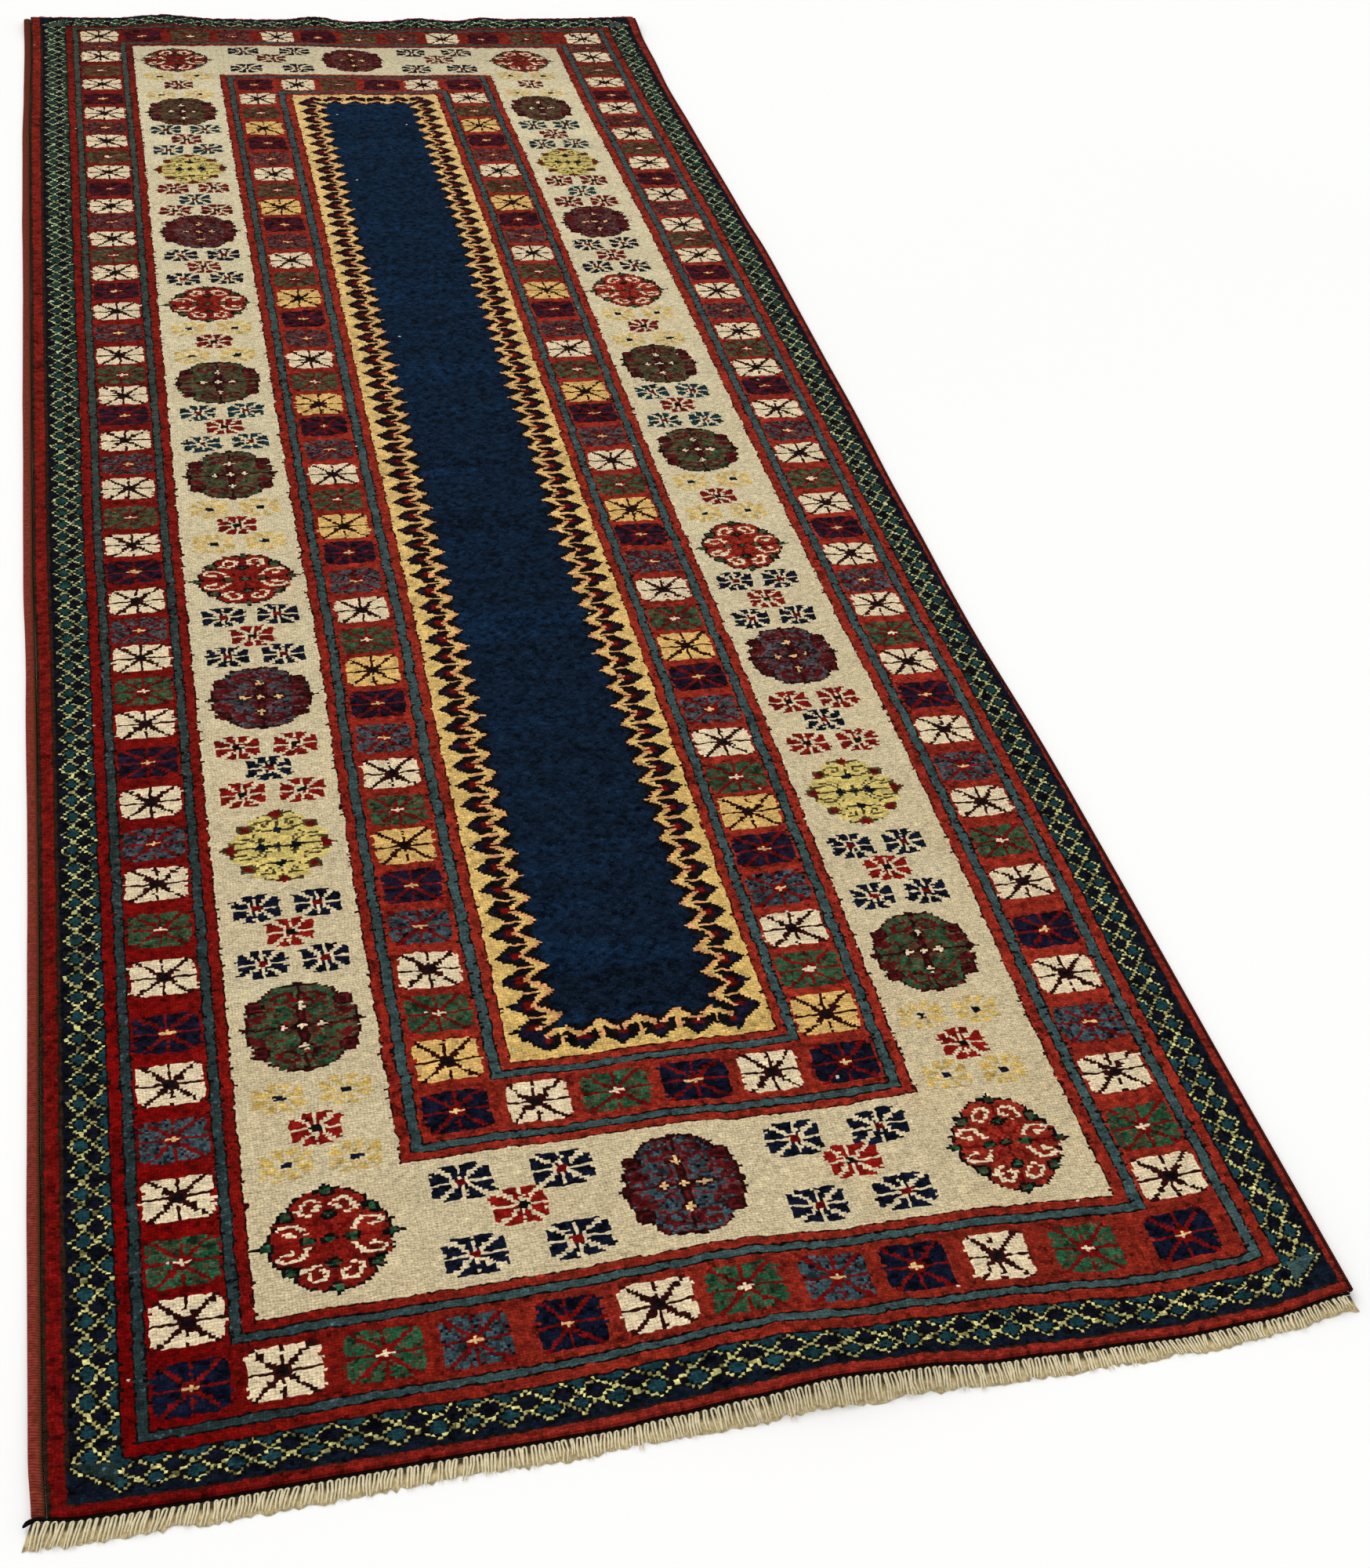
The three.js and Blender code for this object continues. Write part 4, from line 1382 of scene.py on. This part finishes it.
def tube(rings):
    """A closed tube from rings of points, one row for each ring, with quads over its ends."""
    rows, sides = rings.shape[:2]
    number = np.arange(rows * sides).reshape(rows, sides)
    after = np.roll(number, -1, axis=1)
    wall = np.stack([number[:-1], after[:-1], after[1:], number[1:]], axis=-1).reshape(-1, 4)
    caps = []
    for ring_numbers, turned in ((number[0], True), (number[-1], False)):
        half = sides // 2
        left = ring_numbers[np.arange(0, half - 1)]
        left_next = ring_numbers[np.arange(1, half)]
        right = ring_numbers[sides - 1 - np.arange(0, half - 1)]
        right_next = ring_numbers[sides - 1 - np.arange(1, half)]
        cap = np.stack([left, left_next, right_next, right], axis=-1)
        caps.append(cap[:, ::-1] if turned else cap)
    return rings.reshape(-1, 3), np.concatenate([wall] + caps)


SELVEDGE_ROWS = 200
SELVEDGE_SIDES = 10
# For each selvedge: how far it wavers, and the plain and the swelling share of its ribs
LEFT_WAVER, LEFT_PLAIN, LEFT_SWELL = 0.25 * MM, 0.72, 0.28
RIGHT_WAVER, RIGHT_PLAIN, RIGHT_SWELL = 0.2 * MM, 0.78, 0.22
WAVER_ROWS = 5
selvedge_run = np.linspace(0, BODY_LENGTH, SELVEDGE_ROWS)[:, None]
selvedge_angle = np.linspace(0, math.tau, SELVEDGE_SIDES, endpoint=False)[None, :]


def selvedge(edge, side, thick):
    """A tube along an edge, from the place across and the height of each point of its rings."""
    y = laid(side, selvedge_run) + 0 * selvedge_angle
    z = lift(edge, selvedge_run) + thick
    return tube(np.stack([side + SHIFT_X, y, z], axis=-1)[:, ::-1])


def left_selvedge():
    """Two ribs side by side: an oval whose thickness dips between them, along the left edge."""
    edge = left_edge(selvedge_run)
    half = LEFT_SELVEDGE_WIDTH / 2
    waver = LEFT_WAVER * slow_noise(SELVEDGE_ROWS, WAVER_ROWS)[:, None]
    swell = np.sin(np.pi * np.cos(selvedge_angle)) ** 2
    side = edge - GAP - half + (half + waver) * np.cos(selvedge_angle)
    ribs_high = LEFT_PLAIN + LEFT_SWELL * swell
    thick = LEFT_SELVEDGE_THICKNESS / 2 * (1 + np.sin(selvedge_angle) * ribs_high)
    return selvedge(edge, side, thick)


def right_selvedge():
    """The same two ribs, one above the other, beside the pile."""
    edge = right_edge(selvedge_run)
    half = RIGHT_SELVEDGE_WIDTH / 2
    waver = RIGHT_WAVER * slow_noise(SELVEDGE_ROWS, WAVER_ROWS)[:, None]
    swell = np.sin(np.pi * np.sin(selvedge_angle)) ** 2
    ribs_wide = RIGHT_PLAIN + RIGHT_SWELL * swell
    side = edge + GAP + half + (half + waver) * np.cos(selvedge_angle) * ribs_wide
    thick = RIGHT_SELVEDGE_THICKNESS / 2 * (1 + np.sin(selvedge_angle))
    return selvedge(edge, side, thick)


CORD_RINGS = 160
CORD_TAIL_RINGS = 12
CORD_SIDES = 8
CORD_TWIST = 50
PLY_PLAIN, PLY_SWELL = 0.86, 0.14
# The near cord's tail: its length, how much thicker it is, its blunt tip and how far it turns out
CORD_TAIL = 7 * MM
TAIL_SWELL = 0.3
TAIL_TIP = 4 * MM
TAIL_TURN = 0.7
NEAR = {"along": 0.0, "outward": -1}
FAR = {"along": BODY_LENGTH, "outward": 1}
# Waves of the fringe's lean: for each its size in millimetres, its turns over the width and its
# start
LEAN_WAVES = [(1.6, 2.3, 0.4), (1.2, 5.7, 2.1), (0.7, 17.3, 4.0)]
# How far the near fringe leans to the right, in millimetres, by the share of the width
NEAR_LEAN = [(0, -9.5), (0.14, -7.5), (0.3, -2), (0.65, 0), (0.9, 0.5), (1, 4)]
# How long the near fringe is, as a part of its greatest reach, by the share of the width
FRINGE_REACH = [
    (0, 1), (0.03, 0.96), (0.1, 0.85), (0.4, 0.86), (0.75, 0.86), (0.92, 0.72), (1, 0.62),
]
# The near fringe and its cord start at the outer side of the left selvedge
UNDER_SELVEDGE = LEFT_SELVEDGE_WIDTH + GAP


def lean(share, phase):
    """How far a loop's foot lies to the right of its top: a few slow waves added together.

    The near fringe, whose waves start at no phase, leans by its own table as well."""
    parts = [
        size * np.sin(math.tau * turns * share + start + phase)
        for size, turns, start in LEAN_WAVES
    ]
    return sum(parts) * MM + (eased(NEAR_LEAN, share * MM) if phase == 0 else 0.0)


def reach_share(share, end):
    """How long the fringe is, as a part of its greatest reach. The near one shortens rightwards."""
    return eased(FRINGE_REACH, share * MM) / MM if end["outward"] < 0 else 1 + 0 * share


def fringe_left(end):
    """Where the fringe and the cord of an end start on the left."""
    return left_edge(end["along"]) - (UNDER_SELVEDGE if end["outward"] < 0 else 0)


def end_cord(end):
    """A two-ply cord along an end: an oval section that turns as it runs across the rug.

    The near cord's left end is a thick tail that droops outwards past the selvedge."""
    tail_share = 2 * CORD_TAIL / BODY_WIDTH
    share = np.concatenate([
        np.linspace(0, tail_share, CORD_TAIL_RINGS, endpoint=False),
        np.linspace(tail_share, 1, CORD_RINGS - CORD_TAIL_RINGS),
    ])[:, None]
    angle = np.linspace(0, math.tau, CORD_SIDES, endpoint=False)[None, :]
    start, stop = fringe_left(end) - CORD_TAIL * (end["outward"] < 0), right_edge(end["along"])
    across = start + (stop - start) * share
    along = np.full_like(across, end["along"])
    ply = PLY_PLAIN + PLY_SWELL * np.cos(2 * (angle - CORD_TWIST * math.pi * share))
    droop = 0
    if end["outward"] < 0:
        tail = 1 + TAIL_SWELL * fade(across - start, 3 * CORD_TAIL)
        ply = ply * (tail * np.clip((across - start + TAIL_TIP / 2) / TAIL_TIP, 0, 1))
        droop = CORD_TAIL * np.clip(1 - (across - start) / (2 * CORD_TAIL), 0, 1) ** 2
    middle = end["outward"] * (GAP + CORD_DEPTH / 2 + TAIL_TURN * droop)
    out = middle + CORD_DEPTH / 2 * ply * np.cos(angle)
    z = lift(across, along) + CORD_THICKNESS / 2 * (np.maximum(ply, 1) + ply * np.sin(angle))
    x = across + SHIFT_X + 0 * angle
    y = laid(across, along) + out
    return tube(np.stack([x, y, z], axis=-1)[:, ::-1])


# Over a selvedge's width from its left side to its right one: the groove's place, width and
# strength of painted shade, and where the left one's inner wraps start and over how much of it they
# come in
GROOVE_PLACE, GROOVE_WIDTH, GROOVE_PAINTED_SHADE = 0.5, 0.12, 0.5
INNER_WRAPS, INNER_WRAPS_SPAN = 0.8, 0.1
OVERCAST = "wool_overcast"
selvedge_parts = [
    ("overcast_selvedge_left", left_selvedge(), left_overcast, "selvedge_left", OVERCAST),
    ("overcast_selvedge_right", right_selvedge(), shaded_right_overcast, "selvedge_right", OVERCAST),
    ("twisted_cord_near", end_cord(NEAR), cord_wool, "end_cord_near", "dark_wool_cord"),
    ("twisted_cord_far", end_cord(FAR), cord_wool, "end_cord_far", "dark_wool_cord"),
]
for name, (points, faces), finish, node, slot in selvedge_parts:
    made = add_mesh(name, points, faces, finish.material)
    if node.startswith("selvedge"):
        turns = np.tile(np.arange(SELVEDGE_SIDES), SELVEDGE_ROWS)
        angle = math.tau * (SELVEDGE_SIDES - 1 - turns) / SELVEDGE_SIDES
        inner = (1 + np.cos(angle)) / 2
        # Painted shade along the groove between the ribs
        dark = np.exp(-(((inner - GROOVE_PLACE) / GROOVE_WIDTH) ** 2)) * GROOVE_PAINTED_SHADE
        if node == "selvedge_left":
            dark = np.maximum(dark, np.clip((inner - INNER_WRAPS) / INNER_WRAPS_SPAN, 0, 1))
        add_point_value(made, "dark", dark)
    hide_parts(node)

# The fringes: a thin mat of packed warps under loops of warp yarn

STRIP_START = GAP + CORD_DEPTH + GAP
NEAR_LOOPS = 180
FAR_LOOPS = 110
# How long a loop is, as a part of the fringe's reach
LOOP_SHARE = 0.86
# The places of a loop's rings along it, from one foot over the top to the other
LOOP_PATH = [-1, -0.66, -0.37, -0.24, -0.08, 0.08, 0.24, 0.37, 0.66, 1]
# How the fringe sinks from the ripple's height to the floor: the rest of its way to this power
DROOP_POWER = 1.4
# The mat: its points both ways, how far out it reaches as a part of the loops' reach, how ragged
# that is, and its heights
MAT_COLUMNS, MAT_ROWS = 300, 4
MAT_REACH, MAT_LEAST, MAT_MOST = 0.86, 0.66, 1.02
RAGGED, SLOW_RAGGED, RAGGED_STEP = 0.07, 0.06, 6
MAT_WRINKLE = 0.25 * MM
MAT_FLOOR = 0.1 * MM
MAT_THICKNESS = 1.5 * MM
MAT_THINNING = 0.5


def fringe_mat(end, reach, phase):
    """A thin closed mat from the cord to near the loops' feet, with a ragged outer edge."""
    columns, rows = MAT_COLUMNS, MAT_ROWS
    share = np.linspace(0, 1, columns)[None, :]
    run = np.linspace(0, 1, rows)[:, None]
    across = fringe_left(end) + (right_edge(end["along"]) - fringe_left(end)) * share
    ragged = MAT_REACH + RAGGED * dice.normal(0, 1, columns)[None, :]
    ragged = ragged + SLOW_RAGGED * slow_noise(columns, RAGGED_STEP)[None, :]
    ragged = np.clip(ragged, MAT_LEAST, MAT_MOST)
    out = STRIP_START + run * reach * ragged * reach_share(share, end)
    base = lift(across, end["along"]) * (1 - run) ** DROOP_POWER
    lean_here = lean(share, phase) * run
    x = across + lean_here + SHIFT_X
    y = laid(across, np.full_like(across, end["along"])) + end["outward"] * out
    top = base + MAT_THICKNESS * (1 - MAT_THINNING * run)
    top = top + MAT_WRINKLE * dice.normal(0, 1, (rows, columns))
    low = np.stack([x + 0 * run, y, base + MAT_FLOOR], axis=-1)
    high = np.stack([x + 0 * run, y, top], axis=-1)
    if end["outward"] < 0:
        low, high = low[::-1], high[::-1]
    return closed_sheet(low, high)


# The loops: how far they stay from the corners and start under the cord, the share of the path
# that the round top takes on each side, how far apart the legs stand and how much they spread
LOOP_MARGIN = 2.5 * MM
UNDER_CORD = 0.4 * MM
LOOP_BEND = 0.36
LEG_STANCE, LEG_SPREAD = 0.92, 0.1
# How much loops differ in place, width, length, slant, curl, hop and thickness
PLACE_SPREAD, WIDTH_SPREAD, LENGTH_SPREAD, THICKNESS_SPREAD = 0.1, 0.16, 0.09, 0.12
SLANT_SPREAD, SLOW_SLANT, SLANT_STEP = 1.7 * MM, 1.2 * MM, 5
CURL_SPREAD = 0.7 * MM
HOP, HOP_SPREAD, HOP_LIMIT = 1.0 * MM, 0.5, 1.4 * MM
# A loop's middle line lies so high at its top and sinks by this share of it, its section is a
# little flat, and its feet are thinner
LOOP_HEIGHT, LOOP_SINKING = 2.1 * MM, 0.35
LOOP_FLATNESS, FOOT_THICKNESS = 0.85, 0.5
LOOP_SIDES = 4


def warp_loops(end, count, reach, width, thickness, phase):
    """Upturned U shapes of yarn: each leaves the cord in a round top and its legs slant outwards.

    The path goes up one leg, over the top in half a circle and down the other. A square section
    turned on its edge is carried along it."""
    steps, sides = len(LOOP_PATH), LOOP_SIDES

    def differing():
        """A random value for each loop."""
        return dice.normal(0, 1, (count, 1))

    share = (np.arange(count) + 0.5 + dice.normal(0, PLACE_SPREAD, count)) / count
    low, high = fringe_left(end) + LOOP_MARGIN, right_edge(end["along"]) - LOOP_MARGIN
    root = (low + (high - low) * share)[:, None]
    path = np.array(LOOP_PATH)[None, :]
    past_bend = np.abs(path) - LOOP_BEND
    on_top = past_bend < 0
    angle = path / LOOP_BEND * math.pi / 2
    wide = width / 2 * (1 + WIDTH_SPREAD * differing())
    long = reach * LOOP_SHARE * (1 + LENGTH_SPREAD * differing())
    long = long * reach_share(share, end)[:, None]
    spread = np.where(on_top, np.sin(angle), np.sign(path) * (1 + LEG_SPREAD * past_bend))
    down = np.clip(past_bend / (1 - LOOP_BEND), 0, 1)
    crown = np.where(on_top, 1 - np.cos(angle), 1.0)
    run = (wide * crown + down * (long - wide)) / reach
    laid_run = np.clip(run, 0, 1)
    slant = lean(share, phase)[:, None] + SLANT_SPREAD * differing()
    slant = slant + SLOW_SLANT * slow_noise(count, SLANT_STEP)[:, None]
    curl = CURL_SPREAD * differing() * np.sin(math.pi * down)
    across = root + wide * spread * LEG_STANCE + slant * run + curl
    outward = STRIP_START - UNDER_CORD + run * reach
    base = lift(root, end["along"]) * np.clip(1 - run, 0, 1) ** DROOP_POWER
    hop = HOP * np.sin(math.pi * laid_run) * (1 + HOP_SPREAD * differing())
    height = base + LOOP_HEIGHT * (1 - LOOP_SINKING * laid_run) + np.clip(hop, 0, HOP_LIMIT)
    at = laid(root, np.full_like(root, end["along"])) + end["outward"] * outward
    centre = np.stack([across + SHIFT_X, at, height], axis=-1)
    along_path = np.gradient(centre, axis=1)
    along_path /= np.linalg.norm(along_path, axis=-1, keepdims=True)
    up = np.array([0.0, 0.0, 1.0])
    side = np.cross(along_path, up)
    side /= np.linalg.norm(side, axis=-1, keepdims=True)
    over = np.cross(side, along_path)
    turn = np.linspace(0, math.tau, sides, endpoint=False)[None, None, :, None]
    radius = thickness / 2 * (1 + THICKNESS_SPREAD * dice.normal(0, 1, (count, steps)))
    radius[:, [0, -1]] *= FOOT_THICKNESS
    section = np.cos(turn) * side[:, :, None] + LOOP_FLATNESS * np.sin(turn) * over[:, :, None]
    ring_points = centre[:, :, None] + radius[..., None, None] * section
    number = np.arange(count * steps * sides).reshape(count, steps, sides)
    after = np.roll(number, -1, axis=2)
    wall = np.stack([number[:, :-1], after[:, :-1], after[:, 1:], number[:, 1:]], axis=-1)
    return ring_points.reshape(-1, 3), wall.reshape(-1, 4)


# For each end: the fringe's reach, the number of loops, their width and thickness, and the phase
# of their lean
fringe_parts = [
    ("near", NEAR, 25.5 * MM, NEAR_LOOPS, 3.5 * MM, 2.4 * MM, 0.0),
    ("far", FAR, 14.5 * MM, FAR_LOOPS, 3.5 * MM, 2.0 * MM, 1.7),
]
for name, end, reach, count, width, thickness, phase in fringe_parts:
    mat = add_mesh(f"warp_mat_{name}", *fringe_mat(end, reach, phase), warp_mat.material)
    out_shares = np.repeat(np.linspace(0, 1, MAT_ROWS), MAT_COLUMNS)
    out_shares = out_shares if end["outward"] > 0 else out_shares[::-1]
    add_point_value(mat, "out_share", np.tile(out_shares, 2))
    loops = add_mesh(
        f"warp_loops_{name}",
        *warp_loops(end, count, reach, width, thickness, phase),
        fringe_yarn.material,
    )
    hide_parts(f"fringe_{name}")

# The floor, the light and the camera

FLOOR_SIZE = 40
FLOOR_DROP = 0.2 * MM
floor_points = np.array([[-1, -1, 0], [1, -1, 0], [1, 1, 0], [-1, 1, 0]]) * FLOOR_SIZE / 2.0
floor_points[:, 2] = -FLOOR_DROP
floor_paint = Finish("pale_floor", Roughness=0.8, Specular_IOR_Level=0.1)
FLOOR_TONES = ((0.95, 0.95, 0.95, 1), (0.98, 0.98, 0.98, 1))
floor_share = floor_paint.noise(0.5, 1)
floor_paint.feed("Base Color", floor_paint.mixed(floor_share, *FLOOR_TONES))
floor = add_mesh("floor", floor_points, np.array([[0, 1, 2, 3]]), floor_paint.material, body=None)
floor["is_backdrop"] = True

SKY_COLOUR = (1.0, 0.995, 0.985, 1.0)
SKY_STRENGTH = 0.72
LAMP_STRENGTH = 1.35
LAMP_SPREAD = math.radians(50)
LAMP_TURN = (math.radians(-38), math.radians(-24), 0)
scene = bpy.context.scene
scene.view_settings.view_transform = "Standard"
world = bpy.data.worlds.new("soft_studio")
scene.world = world
world.use_nodes = True
background = world.node_tree.nodes["Background"]
background.inputs["Color"].default_value = SKY_COLOUR
background.inputs["Strength"].default_value = SKY_STRENGTH
lamp = bpy.data.lights.new("large_soft_light", "SUN")
lamp.energy = LAMP_STRENGTH
lamp.angle = LAMP_SPREAD
light = bpy.data.objects.new("large_soft_light", lamp)
light.rotation_euler = LAMP_TURN
scene.collection.objects.link(light)

# The camera stands before the left part of the near end. Its place counts in rug's widths from
# the left end of the zero line, at the pile's height, and its focus in the photo's pixels
WIDTH = 1000 * PART
CAMERA_PLACE = Vector((0.1533, -0.7312, 1.2899)) * WIDTH
CAMERA_RIGHT = Vector((0.9670, -0.23785, 0.09135))
CAMERA_LOOK = Vector((0.23773, 0.71324, -0.65938))
CAMERA_FOCUS = 2534.7
IMAGE_HEIGHT = 2000
SENSOR = 36
FAR_LIMIT = 100
camera_data = bpy.data.cameras.new("camera")
camera_data.sensor_width = SENSOR
camera_data.lens = SENSOR * CAMERA_FOCUS / IMAGE_HEIGHT
camera_data.clip_end = FAR_LIMIT
camera = bpy.data.objects.new("camera", camera_data)
scene.collection.objects.link(camera)
look = CAMERA_LOOK.normalized()
right = (CAMERA_RIGHT - CAMERA_RIGHT.dot(look) * look).normalized()
upward = right.cross(look)
turned = Matrix((right, upward, -look)).transposed()
corner = Vector((
    -MIDDLE_PART * PART + SHIFT_X,
    -BODY_LENGTH / 2 - FIRST_PART * PART + SHIFT_Y,
    PILE_TOP,
))
camera.matrix_world = Matrix.Translation(corner + CAMERA_PLACE) @ turned.to_4x4()
scene.camera = camera

low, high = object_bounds()
